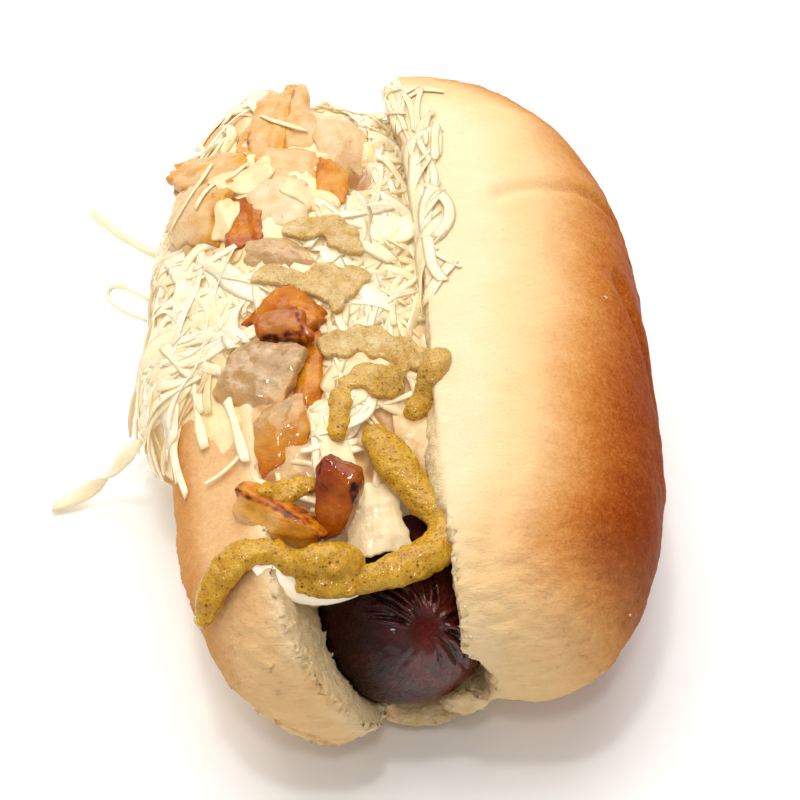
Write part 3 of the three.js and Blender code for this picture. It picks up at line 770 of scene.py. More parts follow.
def draped(tree, spot, yaw, size, cells, lift, tilt=0.0, curl=0.0, ragged=0.15, ripple=0.3):
    """A grid of points that lies limply over a surface, around a spot."""
    length, width = size
    columns, rows = cells
    spot = np.asarray(spot, float)
    around = [tree.find_nearest(Vector(spot + offset))[1]
              for offset in ((0, 0, 0), (2.5, 0, 0), (-2.5, 0, 0), (0, 2.5, 0), (0, -2.5, 0))]
    normal = np.mean([np.array(n) * (1 if n.z > -0.2 else -1) for n in around], axis=0)
    normal /= np.linalg.norm(normal)
    ex = np.array((math.cos(yaw), math.sin(yaw), 0.0))
    ex -= normal * (ex @ normal)
    ex /= np.linalg.norm(ex)
    ey = np.cross(normal, ex)
    u, v = np.meshgrid(np.linspace(-1, 1, columns), np.linspace(-1, 1, rows), indexing="ij")
    seed = random.random() * 50
    wave = 1 + ragged * (np.sin(3.1 * u + seed) + 0.6 * np.sin(6.3 * u + 2 * seed))
    half_width = width / 2 * (1 - 0.42 * np.abs(u) ** 3) * wave
    half_length = length / 2 * (1 + ragged * np.sin(3 * v + seed * 3) - 0.1 * v * v)
    plan = (spot + ex * (u * half_length)[..., None]
            + ey * (v * half_width + 0.12 * width * np.sin(2 * u + seed))[..., None])
    heights = np.full(u.shape, np.nan)
    for place in np.ndindex(u.shape):
        hit = tree.ray_cast(Vector(plan[place] + normal * 12), Vector(-normal), 24)[0]
        if hit is not None:
            heights[place] = (np.array(hit) - plan[place]) @ normal
    middle = np.nanmedian(heights) if not np.isnan(heights).all() else 0.0
    heights = np.clip(np.nan_to_num(heights, nan=middle - 2), middle - 2.6, middle + 2.6)
    for _ in range(2):
        padded = np.pad(heights, 1, mode="edge")
        heights = (2 * heights + padded[2:, 1:-1] + padded[:-2, 1:-1]
                   + padded[1:-1, 2:] + padded[1:-1, :-2]) / 6
    heights += lift + tilt * v * width / 4 + curl * v * v * width / 5
    heights += ripple * np.sin(u * 4 + seed) * np.sin(v * 3 + seed)
    return plan + normal * heights[..., None]


def sheet(name, grid):
    """An open sheet through a grid of points, which gets its thickness later."""
    columns, rows = grid.shape[:2]
    faces = [[i * rows + j, (i + 1) * rows + j, (i + 1) * rows + j + 1, i * rows + j + 1]
             for i in range(columns - 1) for j in range(rows - 1)]
    return from_arrays(name, grid.reshape(-1, 3), faces)


def thickened(sheets, name, thickness):
    """All the sheets in one piece, each a closed slab with soft edges."""
    piece = joined(sheets, name)
    modify(piece, "SOLIDIFY", thickness=thickness * MM, offset=0.0)
    modify(piece, "SUBSURF", levels=1, render_levels=1)
    return piece


def over_onions(onion_tree, point):
    """Whether a point lies on or in a petal of onion, and not under it."""
    hit = onion_tree.ray_cast(Vector((point[0], point[1], 90)), Vector((0, 0, -1)))[0]
    return hit is not None and hit.z < point[2] + 1.7


def longest_run(clear):
    """Where the longest row of true values starts and ends."""
    best, start = (0, 0), None
    for k, free in enumerate(clear + [False]):
        if free and start is None:
            start = k
        elif not free and start is not None:
            best = max(best, (start, k), key=lambda run: run[1] - run[0])
            start = None
    return best


def flow(x, y, outer):
    """The way most shreds run at a place."""
    drift = noise.noise(Vector((x / 17, y / 17, 3.3)))
    return (math.pi * 1.12 if outer else math.pi * 0.62) + 2.6 * drift


def make_shreds(carriers, onions):
    """Layers of shreds laid over the heap, with broad limp bits between them."""
    random.seed(12)
    points, faces, tones = [], [], []
    sheets = []
    ground = tree_of(carriers)
    onion_tree = tree_of(onions)

    def barred(point):
        """Whether shreds stay clear of a point: on onion, on bare crust, or over the pit."""
        x, y, z = point
        return (over_onions(onion_tree, point) or (y < -3 and x > 7.2) or y < -50
                or (y < -21 and x < -34 and z < 36) or (y < -22 and x < -27)
                or (y < -34 and x > 2)
                or math.hypot(x - PIT[0], (y - PIT[1]) * 0.8) < 3.2)

    def put(path, flats, width, thickness, tone):
        strand, strand_faces = flat_tube(path, flats, width, thickness)
        start = len(points)
        points.extend(strand)
        faces.extend([[v + start for v in face] for face in strand_faces])
        tones.extend([tone] * len(strand))

    def add(path, flats, width, thickness, tone, least=8):
        """Adds the longest stretch of a strand that is clear, unless it is short."""
        path, flats = eased(path, 5), eased(flats, 10)
        first, last = longest_run([not barred(point) for point in path])
        if last - first >= least:
            put(path[first:last], flats[first:last], width, thickness, tone)

    def add_leaf(x, y, yaw, size, lift):
        z = height_over(ground, x, y)
        if z <= 6:
            return
        grid = draped(ground, (x, y, z), yaw, size, (12, 7), lift,
                      tilt=random.gauss(0, 0.08), curl=random.uniform(-0.25, 0.1), ripple=0.35)
        if not any(barred(point) for point in grid.reshape(-1, 3)):
            sheets.append(sheet("leaf", grid))
            paint(sheets[-1], "tone", np.full(84, random.random() * 0.8))

    def wide():
        """Most shreds are narrow, and some are ribbons."""
        return random.uniform(2.8, 5.2) if random.random() < 0.3 else random.uniform(1.3, 2.6)

    for layer in range(3):
        rise = 0.12 + 0.33 * layer
        # Painted shade: the lower layers of shreds get a darker, warmer tone than the top layer.
        deep = 0.5 - 0.28 * layer
        # Over the heap and down its outer side
        for _ in range(145):
            outer = random.random() < 0.45
            x = random.uniform(-47, -28) if outer else random.uniform(-30, 4)
            y = random.uniform(-18, 54) if outer else random.uniform(-50, 62)
            if x < -25 and y < -14:
                continue
            z = height_over(ground, x, y)
            if z <= 6:
                continue
            heading = flow(x, y, outer) + random.gauss(0, 0.4) + math.pi * (random.random() < 0.3)
            path, flats = lay_strand(
                ground, (x, y, z), heading, random.randint(15, 25), random.uniform(1.3, 1.6),
                random.gauss(0, 0.07), 0.06, rise + random.uniform(0, 0.25),
                random.uniform(0.1, 0.7), 0.3 if outer else 0.0)
            width = wide() if y > -27 else random.uniform(1.0, 2.0)
            add(path, flats, width, random.uniform(0.32, 0.5), deep + 0.6 * random.random())
        # Over the right lip, resting on the bread
        for _ in range(60):
            x, y = random.uniform(-6, 14), random.uniform(-4, 52)
            z = height_over(ground, x, y)
            heading = (1.0 + 1.1 * noise.noise(Vector((x / 14, y / 14, 9)))
                       + math.pi * (random.random() < 0.5))
            path, flats = lay_strand(
                ground, (x, y, z), heading, random.randint(14, 22), 1.4,
                random.gauss(0, 0.05), 0.05, 0.2 + 0.16 * layer + random.uniform(0, 0.15),
                random.uniform(0.0, 0.3), 0.1)
            keep = path[:, 0] < 16.5 - 0.1 * np.abs(path[:, 1] - 20)
            cut = len(path) if keep.all() else int(np.argmin(keep))
            if cut >= 9:
                add(path[:cut], flats[:cut], 0.75 * wide(), random.uniform(0.2, 0.3),
                    0.35 + 0.3 * random.random())
        for _ in range(9):
            lift = rise + random.uniform(0.1, 0.5)
            add_leaf(random.uniform(-44, -28), random.uniform(-12, 48), random.gauss(math.pi, 0.7),
                     (random.uniform(12, 22), random.uniform(4.5, 8)), lift)
            add_leaf(random.uniform(-26, 3), random.uniform(-44, 58), random.uniform(0, math.pi),
                     (random.uniform(11, 19), random.uniform(4.5, 8)), lift)
    # Short ones fill the gap between the near onions.
    for _ in range(46):
        x, y = random.uniform(-20, -8), random.uniform(-39, -17)
        path, flats = lay_strand(
            ground, (x, y, height_over(ground, x, y)), random.gauss(1.5, 0.7),
            random.randint(7, 12), 1.1, random.gauss(0, 0.09), 0.06, random.uniform(0.2, 0.8),
            random.uniform(0.1, 0.5), 0.0)
        add(path, flats, random.uniform(1.5, 3.4), random.uniform(0.3, 0.45),
            0.7 * random.random(), 5)
    # Others hang over the sausage at the far end.
    for _ in range(26):
        x, y = random.uniform(-4, 7), random.uniform(52, 63)
        path, flats = lay_strand(
            ground, (x, y, height_over(ground, x, y)), random.uniform(0, 2 * math.pi),
            random.randint(9, 15), 1.2, random.gauss(0, 0.08), 0.06, random.uniform(0.2, 0.8),
            random.uniform(0.1, 0.5), 0.0)
        add(path, flats, random.uniform(1.5, 3.2), 0.4, 0.3 + 0.5 * random.random(), 5)
    # A few lie across the onion at the back.
    top = tree_of(carriers + onions)
    for _ in range(3):
        x, y = random.uniform(-34, -4), random.uniform(8, 56)
        path, flats = lay_strand(
            top, (x, y, height_over(top, x, y)), random.uniform(0, 2 * math.pi),
            random.randint(9, 15), 1.3, random.gauss(0, 0.1), 0.06, 0.35, 0.3, 0.0)
        put(eased(path, 6), eased(flats, 10), random.uniform(0.9, 1.5), 0.35, 0.7)
    for x, y, yaw, length, width in LEAVES_ON_ONION:
        grid = draped(top, (x, y, height_over(top, x, y)), math.radians(yaw), (length, width),
                      (12, 7), 0.3, curl=-0.2, ragged=0.1, ripple=0.25)
        sheets.append(sheet("leaf", grid))
        paint(sheets[-1], "tone", np.full(84, 0.9))
    for corners, width, thickness in LONG_SHREDS:
        line = smooth_line(corners, 18)
        flats = np.array([ground.find_nearest(Vector(point))[1] for point in line])
        put(line, eased(flats, 10), width, thickness, 0.2)
    shreds = from_arrays("sauerkraut_shreds", points, faces)
    paint(shreds, "tone", tones)
    return shaded(shreds), sheets


CRESCENT = np.array([  # the pale leaf that hangs under the mustard at the near end
    [(-27.2, -56.6, 44.6), (-26.9, -57.6, 44.0), (-26.6, -58.4, 43.4)],
    [(-23.2, -56.8, 44.6), (-22.9, -60.2, 42.0), (-22.9, -60.9, 39.6)],
    [(-18.8, -57.8, 44.2), (-18.5, -62.0, 41.0), (-18.5, -62.0, 37.2)],
    [(-13.8, -58.0, 43.6), (-13.6, -62.6, 40.6), (-13.5, -62.3, 37.0)],
    [(-10.2, -58.6, 42.6), (-9.6, -61.6, 40.0), (-9.4, -61.4, 37.6)],
    [(-8.0, -59.4, 41.0), (-7.4, -60.6, 39.4), (-7.2, -60.7, 38.2)],
])


# ---------------------------------------------------------------- onion and leaves

# Each petal of onion is a curved slab between four corners. at is its middle, turn its yaw,
# roll and pitch in degrees, and size its length, width and thickness. narrow and short say
# how much its right end and its upper side differ from the others, and shear slants it.
# tone is how brown it is, and fade changes it along its length and its width. glass is how
# clear and raw it looks, and clear changes that along it and across it. burns are lines over
# it, by length and width from -1 to 1, each with a reach in millimetres and a strength.
ONIONS = [
    dict(at=(-21.7, -48.4, 44.2), turn=(-31, 64, 2), size=(17.2, 7.0, 5.6), narrow=0.62,
         short=1.22, shear=0.9, tone=0.49, fade=(0.06, 0.05), ragged=0.06, corner=5,
         burns=[(-1, 0.95, 1, 0.95, 1.1, 0.7), (0.1, 0.7, 0.7, 0.62, 0.8, 0.55),
                (0.98, 0.8, 0.98, -0.2, 0.8, 0.5), (-1, 1, -0.98, 0.7, 0.8, 0.9)]),
    dict(at=(-11.1, -47.4, 48.6), turn=(-23, 52, 1), size=(7.4, 14.4, 5), narrow=0.8,
         short=2.2, shear=-1.6, tone=0.79, fade=(-0.05, 0.06), ragged=0.06, corner=3.4,
         burns=[(-1, 1, 1, 1, 1.0, 0.55), (-1, 1, -0.9, -1, 0.8, 0.7),
                (0.85, 0.5, 0.95, 0.1, 1.2, 1.5), (0.8, -0.2, 0.5, -0.5, 0.7, 1.0),
                (-0.8, -1, 0.2, -1, 0.8, 0.6)]),
    dict(at=(-20.6, -31.3, 47.7), turn=(20, 13, -15), size=(12.0, 12.4, 3.8), narrow=1.11,
         short=0.87, shear=5.9, tone=0.56, fade=(-0.03, -0.06), glass=0.35, clear=(0, 0.55),
         burns=[(-1, 0.7, -1, -0.7, 0.7, 0.5), (-0.9, -1, 0.4, -1, 0.7, 0.3),
                (0.3, 1, 1, 0.9, 1.0, 0.3)]),
    dict(at=(-24.3, -17.1, 49.3), turn=(-28, 16, -10), size=(14.6, 14.8, 3), narrow=1.3,
         short=0.9, shear=0.3, cup=0.3, tone=0.36, fade=(0.02, -0.07), glass=0.95,
         clear=(0, 0.15), ragged=0.05,
         burns=[(-0.9, -1, 0.2, -1, 0.7, 0.3), (-1, 0.2, -1, -0.4, 0.6, 0.25)]),
    dict(at=(-17.6, -3.6, 50.9), turn=(-36, 13, -3), size=(12.6, 10.2, 3), narrow=0.5,
         short=0.8, shear=3.3, tone=0.65, cup=0.6,
         burns=[(-1, 1, -1, -1, 0.8, 0.75), (-1, -1, 0.6, -1, 0.9, 0.8),
                (0.2, 1, 1, 0.4, 0.8, 0.5)]),
    dict(at=(-14.7, -16.1, 48.5), turn=(0, 6, -7), size=(5.0, 19.0, 3), narrow=0.91,
         short=0.93, shear=1.9, tone=0.63, burns=[(-1, 1, -1, -1, 0.7, 0.4)]),
    dict(at=(-19.6, 12.8, 50.8), turn=(-13, 15, -8), size=(13.0, 7.6, 2.6), narrow=1.1,
         short=0.66, shear=-4.5, cup=0.6, tone=0.32, glass=0.6,
         burns=[(-0.9, -1, 1, -1, 0.8, 0.85)]),
    dict(at=(-34.6, 30.7, 45.7), turn=(-28, 14, -24), size=(12.8, 14.4, 2.6), narrow=1.21,
         short=0.79, shear=-3.8, cup=0.4, tone=0.34, fade=(0.1, 0.0), layers=2,
         burns=[(0.6, 0.5, 0.9, -0.4, 1.6, 0.4), (-1, -1, -1, 1, 0.7, 0.3)]),
    dict(at=(-20.0, 53.0, 48.4), turn=(-14, 4, -11), size=(7.4, 17.6, 2.6), narrow=1.15,
         short=0.88, shear=-2.7, tone=0.4, layers=2,
         burns=[(-1, -0.4, -0.7, -1, 1.3, 0.85), (-1, 1, 1, 1, 0.8, 0.3)]),
    dict(at=(-6.6, 50.2, 48.0), turn=(21, -1, 8), size=(9.6, 17.4, 3.0), narrow=0.82,
         short=0.7, shear=3.4, bow=0.3, cup=0.7, tone=0.29, layers=2,
         burns=[(-0.2, 1, 1, 0.9, 1.0, 0.5), (1, 0.9, 1, 0.0, 0.8, 0.4)]),
    dict(at=(-18.6, 26.5, 51.4), turn=(4, -1, -4), size=(11.6, 13.8, 2.6), narrow=1.08,
         short=0.92, shear=-0.8, bow=0.3, cup=0.4, tone=0.22, layers=2,
         burns=[(0.4, -1, 1, -0.6, 1.0, 0.25)]),
    dict(at=(-32.5, 42.4, 45.7), turn=(-18, 0, -17), size=(15.2, 9.6, 2.6), narrow=1.16,
         short=1.13, shear=-2.6, tone=0.4, layers=2, burns=[(-1, 1, -1, -1, 0.9, 0.35)]),
    dict(at=(-8.3, 33.4, 50.0), turn=(-29, -5, 0), size=(6.4, 12.6, 2.6), shear=-5.3,
         tone=0.54, burns=[]),
    dict(at=(-19.6, -7.7, 52.6), turn=(-14, 11, -9), size=(9.0, 6.0, 2.4), narrow=1.4,
         short=0.84, shear=-1.4, tone=0.7, glass=0.2, cup=0.5,
         burns=[(-0.6, -1, 1, -1, 1.0, 1.1), (0.7, 0.6, 1, -0.8, 0.7, 0.8)]),
    dict(at=(-14.5, 55.3, 48.5), turn=(24, -1, 9), size=(6.8, 18.2, 2.6), short=0.66,
         shear=7.3, tone=0.36, burns=[(-0.6, 1, 0.8, 1, 0.8, 0.35)]),
    dict(at=(-16.9, 39.1, 50.0), turn=(-5, -5, -6), size=(10.8, 11.4, 2.6), narrow=0.94,
         short=0.9, shear=-0.9, tone=0.36, cup=0.5, layers=2,
         burns=[(-0.2, 1, 0.4, 1, 1.1, 0.35)]),
    dict(at=(-25.7, 23.5, 49.3), turn=(-23, 6, -16), size=(8.4, 10.6, 2.6), narrow=0.78,
         short=1.09, shear=-5.3, tone=0.68, burns=[(0, 1, 1, -0.2, 1.2, 0.4)]),
]
NEAR_ONIONS = 7
ONION_LOOK = ("tone", "burns", "fade", "glass", "clear", "layers")
# A tone of 1 or more is painted shade: it darkens a leaf that lies low between the lip and the
# onions.
CABBAGE = [
    dict(at=(-5.9, -18.3, 50.8), turn=(1, 6, -6), size=(14.4, 6.8, 1.1), narrow=0.86,
         short=0.91, shear=-0.7, bow=0.3, tone=0.9),
    dict(at=(3.9, -34.5, 47.1), turn=(-32, 18, -2), size=(8.0, 13.4, 1.2), narrow=1.19,
         short=0.8, shear=-9.3, cup=0.6, tone=1.3),
    dict(at=(-4.6, -47.4, 43.7), turn=(3, 17, -4), size=(9.6, 13.4, 0.8), narrow=0.96,
         short=0.7, bow=0.4, tone=0.7),
    dict(at=(-12.2, -28.7, 48.6), turn=(0, 15, -7), size=(5.8, 8.8, 1.1), short=1.19,
         shear=0.6, cup=0.5, tone=0.6),
    dict(at=(-16.8, -36.3, 46.1), turn=(-1, 18, -6), size=(6.4, 8.2, 1.1), shear=0.6,
         cup=0.5, tone=1.2),
    dict(at=(-7.2, -38.6, 45.4), turn=(40, 14, -8), size=(9.0, 7.0, 1.1), narrow=0.8,
         bow=0.5, tone=1.0),
    dict(at=(-9.8, -24.6, 48.2), turn=(64, 6, -4), size=(9.5, 5.2, 0.9), narrow=0.8,
         bow=0.4, tone=0.7),
    dict(at=(-16.2, -29.6, 46.9), turn=(118, 10, -4), size=(7.5, 3.6, 0.8), narrow=1.2,
         bow=0.3, tone=0.9),
]


def petal(name, number, cuts, at, turn, size, narrow=1.0, short=1.0, shear=0.0, bow=0.12,
          cup=0.2, ribs=0.04, ragged=0.08, corner=9):
    """A curved slab with four sides, with the place of each vertex along and across it."""
    length, width, thickness = size
    piece = block(name, cuts)
    p = points_of(piece)
    u, v, w = p.T
    edge = np.maximum(np.abs(u), np.abs(v))
    reach = (np.abs(u) ** corner + np.abs(v) ** corner) ** (1 / corner)
    flat = np.stack([u * length, v * width, 0 * u], axis=1) + (number * 31.7, 0, 0)
    wave = grain(flat, 9.0, number)
    notch = grain(flat, 3.0, number + 40)
    nick = grain(flat, 1.3, number + 70)
    drawn = edge / np.maximum(reach, 1e-6)
    drawn *= 1 - 0.03 * np.abs(w) ** 3
    drawn *= 1 + ragged * edge ** 2 * (1.2 * wave + 1.3 * notch + 0.5 * nick)
    u, v = u * drawn, v * drawn
    # Each corner is pulled its own way.
    pulls = np.random.default_rng(number).uniform(-1.2, 1.2, (2, 2, 2)) * ragged
    for i, j in np.ndindex(2, 2):
        share = (1 + (2 * i - 1) * p[:, 0]) * (1 + (2 * j - 1) * p[:, 1]) / 4
        u = u + pulls[i, j, 0] * share
        v = v + pulls[i, j, 1] * share
    q = np.empty_like(p)
    q[:, 0] = u * length / 2 * (1 + v * (short - 1) / (short + 1)) + shear * v / 2
    q[:, 1] = v * width / 2 * (1 + u * (narrow - 1) / (narrow + 1))
    q[:, 2] = w * thickness / 2 * (1 - 0.25 * edge ** 6) * (1 + 0.2 * wave)
    q[:, 2] += ribs * np.sin(q[:, 1] * 3.4 + wave * 3 + number) * w
    q[:, 2] -= bow * 0.25 * length * u ** 2 + cup * 0.25 * width * v ** 2
    q[:, 2] += 0.45 * wave + 0.5 * math.sin(number * 2.3) * u * v
    yaw, roll, pitch = [math.radians(angle) for angle in turn]
    turned = np.array(Euler((roll, pitch, yaw), "XYZ").to_matrix())
    put_points(piece, q @ turned.T + at)
    modify(piece, "SUBSURF", levels=1, render_levels=1)
    local = (points_of(piece) - at) @ turned
    return piece, local


def make_onion(number, onion, under):
    """A petal of onion. under is how many petals it lies on."""
    shape = {k: v for k, v in onion.items() if k not in ONION_LOOK}
    if number > NEAR_ONIONS:
        random.seed(number * 5)
        shape["ragged"] = 0.12
        shape["corner"] = 6
        shape["size"] = np.multiply(shape["size"], (1.12, 1.12, 1))
        shape["turn"] = np.add(shape["turn"], [random.uniform(-8, 8) for _ in range(3)])
    seed = number + 40 * under
    if under:
        random.seed(seed)
        shape["size"] = np.multiply(shape["size"], (1.08, 1.08, 1))
        shape["at"] = np.add(shape["at"], (random.uniform(-2.2, 2.2), random.uniform(-2.4, 1.2),
                                           -0.85 * shape["size"][2]))
        shape["turn"] = np.add(shape["turn"], (random.uniform(-22, 22), 0, 0))
    piece, local = petal(f"grilled_onion_{number:02d}", seed, 15, **shape)
    p = points_of(piece)
    length, width, thickness = onion["size"]
    u, v = 2 * local[:, 0] / length, 2 * local[:, 1] / width
    flat = local * (1, 1, 0)
    burnt = np.zeros(len(p))
    uneven = grain(p, 1.3, seed + 60)
    for u0, v0, u1, v1, wide, strength in onion["burns"]:
        line = [(u0 * length / 2, v0 * width / 2, 0), (u1 * length / 2, v1 * width / 2, 0)]
        patchy = 0.72 + 0.8 * uneven
        burnt = np.maximum(burnt, strength * bump_of(away_from(flat, line), wide * 0.7) * patchy)
    fibre = grain(local + seed * 3.0, (5.0, 0.55, 1.2), seed + 80, 2)
    push(piece, grain(p, 2.4, seed) * 0.16 + fibre * 0.025 + grain(p, 0.7, seed + 20) * 0.05
         - 0.15 * burnt)
    along, across = onion.get("fade", (0, 0))
    rim = smoothstep(0.72, 1.0, np.maximum(np.abs(u), np.abs(v)))
    tone = onion["tone"] + 0.06 * under + grain(p, 4, seed + 90) * 0.09 + 0.07 * rim
    tone += along * u + across * v
    more, over = onion.get("clear", (0, 0))
    glass = onion.get("glass", 0.0) + more * u + over * v + 0.25 * grain(p, 5, seed + 30)
    paint(piece, "char", burnt)
    paint(piece, "tone", tone)
    paint(piece, "fibre", fibre)
    paint(piece, "glass", np.clip(glass - 0.25 * rim, 0, 1) * ("glass" in onion))
    return piece


def make_onions():
    onions = []
    for number, onion in enumerate(ONIONS, 1):
        petals = [make_onion(number, onion, under) for under in range(onion.get("layers", 1))]
        onions.append(shaded(joined(petals, f"grilled_onion_{number:02d}")))
    return onions


def make_leaves(sheets):
    leaves = []
    for number, cabbage in enumerate(CABBAGE, 1):
        shape = {k: v for k, v in cabbage.items() if k != "tone"}
        piece, local = petal("leaf", number + 30, 17, ribs=0.05, ragged=0.15, corner=6, **shape)
        lengthwise = (7.0, 0.9, 1.2) if cabbage["size"][0] > cabbage["size"][1] else (0.9, 7.0, 1.2)
        veins = grain(local + number * 3.0, lengthwise, number + 80, 2)
        push(piece, veins * 0.06)
        paint(piece, "tone", cabbage["tone"] + 0.3 * veins)
        leaves.append(piece)
    crescent = sheet("crescent", CRESCENT)
    # Painted light: the crescent hangs in shade, so it gets the palest tone and the stronger glow.
    paint(crescent, "tone", np.full(len(crescent.data.vertices), -0.8))
    leaves.append(thickened(sheets + [crescent], "loose_leaves", 0.6))
    return shaded(joined(leaves, "cabbage_leaves"))


# ---------------------------------------------------------------- mustard

# Corners of each bead or film, with its half width and half thickness at each. One with no
# height lies on whatever is below it.
MUSTARD = [
    [(-35.2, -63.2, 36.0, 1.6, 0.9), (-33.9, -60.8, 39.4, 2.9, 1.2),
     (-31.2, -57.8, 42.6, 3.6, 1.6), (-27.6, -55.6, 44.4, 3.3, 1.8),
     (-23.6, -55.6, 44.9, 2.7, 1.9), (-19.6, -57.6, 44.2, 2.2, 1.7)],
    [(-19.6, -58.0, 44.0, 2.4, 2.0), (-16.6, -58.6, 45.0, 3.4, 2.9),
     (-13.2, -58.3, 45.4, 3.9, 3.0), (-10.0, -58.6, 45.0, 3.3, 2.6)],
    [(-17.6, -60.8, 42.0, 1.6, 1.8), (-14.0, -61.8, 41.8, 2.2, 2.2),
     (-9.0, -61.4, 42.2, 2.6, 2.4), (-3.6, -60.4, 43.0, 3.0, 2.5),
     (1.2, -59.0, 43.4, 3.6, 2.7), (5.2, -56.6, 43.6, 4.1, 2.9),
     (7.6, -53.4, 43.8, 3.7, 2.8), (7.4, -50.4, 44.4, 3.2, 2.5),
     (5.0, -46.8, 45.4, 3.6, 2.5), (2.4, -43.6, 46.4, 3.8, 2.5),
     (0.2, -39.8, 47.6, 4.2, 2.4), (-1.8, -36.2, 48.6, 4.0, 2.2),
     (-3.6, -33.2, 49.2, 2.8, 1.7)],
    [(-24.0, -44.4, None, 1.4, 0.9), (-19.7, -43.2, None, 2.8, 1.2),
     (-16.0, -42.6, None, 2.4, 1.2)],
    [(-10.4, -33.4, None, 1.8, 0.9), (-9.7, -29.4, None, 2.5, 1.1),
     (-9.2, -24.6, None, 2.2, 0.9)],
    [(9.0, -18.8, None, 3.0, 1.5), (7.2, -21.8, None, 3.5, 2.0),
     (5.6, -24.6, None, 3.1, 2.3), (4.0, -27.4, None, 2.3, 2.2)],
    [(8.4, -16.0, None, 1.8, 0.6), (3.0, -13.4, None, 3.6, 0.8), (-3.0, -12.4, None, 3.9, 0.8),
     (-8.4, -12.2, None, 3.7, 0.7), (-13.0, -11.0, None, 2.4, 0.6)],
    [(-9.6, -21.8, None, 1.6, 0.6), (-4.4, -21.4, None, 3.0, 0.8), (1.6, -22.4, None, 2.8, 0.8)],
    [(2.4, -13.0, None, 2.0, 0.6), (1.4, -18.0, None, 1.9, 0.7), (0.8, -23.0, None, 1.8, 0.7)],
    [(-17.4, 4.6, None, 2.2, 0.6), (-12.0, 3.2, None, 4.1, 0.9), (-6.6, 3.4, None, 4.3, 0.9),
     (-2.2, 4.8, None, 2.6, 0.6)],
    [(-24.8, 5.2, None, 1.5, 0.8), (-20.6, 6.8, None, 2.3, 1.0), (-15.4, 4.8, None, 2.2, 0.9)],
    [(-8.4, 2.0, None, 2.2, 0.7), (-9.2, -4.8, None, 1.5, 0.5)],
    [(-18.6, 17.2, None, 1.8, 0.6), (-12.2, 18.2, None, 3.5, 0.9), (-7.4, 15.6, None, 3.5, 0.8),
     (-3.4, 11.2, None, 2.0, 0.6)],
]


FILM = 1.0  # a lying bead whose half thickness is less than this is spread as a film


def film(rest, path, wides, number):
    """An open sheet spread over what lies below, with a wavy edge on each side."""
    along = np.gradient(path, axis=0) * (1, 1, 0)
    along /= np.linalg.norm(along, axis=1)[:, None]
    side = np.stack([-along[:, 1], along[:, 0], 0 * along[:, 0]], axis=1)
    t = np.arange(len(path))
    tips = np.clip(np.minimum(t, t[::-1]) / 4, 0, 1) ** 0.5
    grid = np.empty((len(path), 13, 3))
    for row, v in enumerate(np.linspace(-1, 1, 13)):
        shift = number * 3 + 2 * (v > 0)
        edge = 1 + 0.2 * np.sin(t * 0.5 + shift) + 0.14 * np.sin(t * 1.1 + 2 * shift)
        grid[:, row] = path + side * (v * wides * edge * (0.25 + 0.75 * tips))[:, None]
    heights = np.array([height_over(rest, x, y) for x, y, _ in grid.reshape(-1, 3)])
    heights = np.clip(heights.reshape(grid.shape[:2]), path[:, 2:] - 2.0, path[:, 2:] + 1.0)
    for _ in range(5):
        padded = np.pad(heights, 1, mode="edge")
        heights = (2 * heights + padded[2:, 1:-1] + padded[:-2, 1:-1]
                   + padded[1:-1, 2:] + padded[1:-1, :-2]) / 6
    grid[:, :, 2] = heights + 0.55
    return sheet("film", grid)


def make_mustard(rest):
    random.seed(41)
    bpy.ops.mesh.primitive_uv_sphere_add(segments=14, ring_count=8, radius=MM)
    drop = bpy.context.object
    ball = points_of(drop)
    ball_faces = [list(face.vertices) for face in drop.data.polygons]
    removed(drop)
    points, faces, films = [], [], []

    def dab(spot, wide, tall):
        start = len(points)
        points.extend(ball * (wide, wide, tall) + spot)
        faces.extend([[v + start for v in face] for face in ball_faces])

    for number, places in enumerate(MUSTARD):
        lies = places[0][2] is None
        rows = np.array([(x, y, 0 if lies else z) for x, y, z, _, _ in places])
        steps = max(8, int(np.linalg.norm(np.diff(rows, axis=0), axis=1).sum() / 0.7))
        path = smooth_line(rows, steps)
        t = np.linspace(0, 1, steps)
        corners = np.linspace(0, 1, len(places))
        wides = np.interp(t, corners, [place[3] for place in places])
        thicks = np.interp(t, corners, [place[4] for place in places])
        if lies:
            heights = np.array([height_over(rest, x, y) for x, y, _ in path])
            path[:, 2] = eased(heights[:, None], 4)[:, 0] + 0.35 * thicks
        if lies and thicks.max() < FILM:
            films.append(film(rest, path, wides, number))
            continue
        for k in range(steps):
            lump = 1 + 0.08 * math.sin(k * 0.45 + number * 2) + 0.05 * math.sin(k * 1.1 + number)
            wide, thick = wides[k] * lump, thicks[k]
            dab(path[k], wide * 0.9, thick)
            angle = random.uniform(0, 2 * math.pi)
            off = np.array((math.cos(angle), math.sin(angle), 0)) * wide * random.uniform(0.3, 0.7)
            spot = path[k] + off + (0, 0, random.uniform(-0.2, 0.35) * thick)
            dab(spot, random.uniform(0.9, 1.6), random.uniform(0.8, 1.1))
    films = joined(films, "films")
    modify(films, "SOLIDIFY", thickness=1.3 * MM, offset=0.0)
    mustard = fused(joined([from_arrays("dabs", points, faces), films], "mustard"), 0.4, 4)
    p = points_of(mustard)
    rough = 1 - 0.65 * smoothstep(-34, -12, p[:, 1])
    push(mustard, (grain(p, 2.6, 61) * 0.22 + grain(p, 1.0, 62) * 0.2
                   + grain(p, 0.5, 63) * 0.09) * rough)
    # Spread thinly at the back, it lets the pale food below show through. Its paleness there is
    # also painted light, for the brightly lit back of the heap.
    p = points_of(mustard)
    paint(mustard, "cream", smoothstep(-34, -8, p[:, 1]) * (0.72 + 0.3 * grain(p, 3.4, 64)))
    return shaded(mustard)


# ---------------------------------------------------------------- finishes

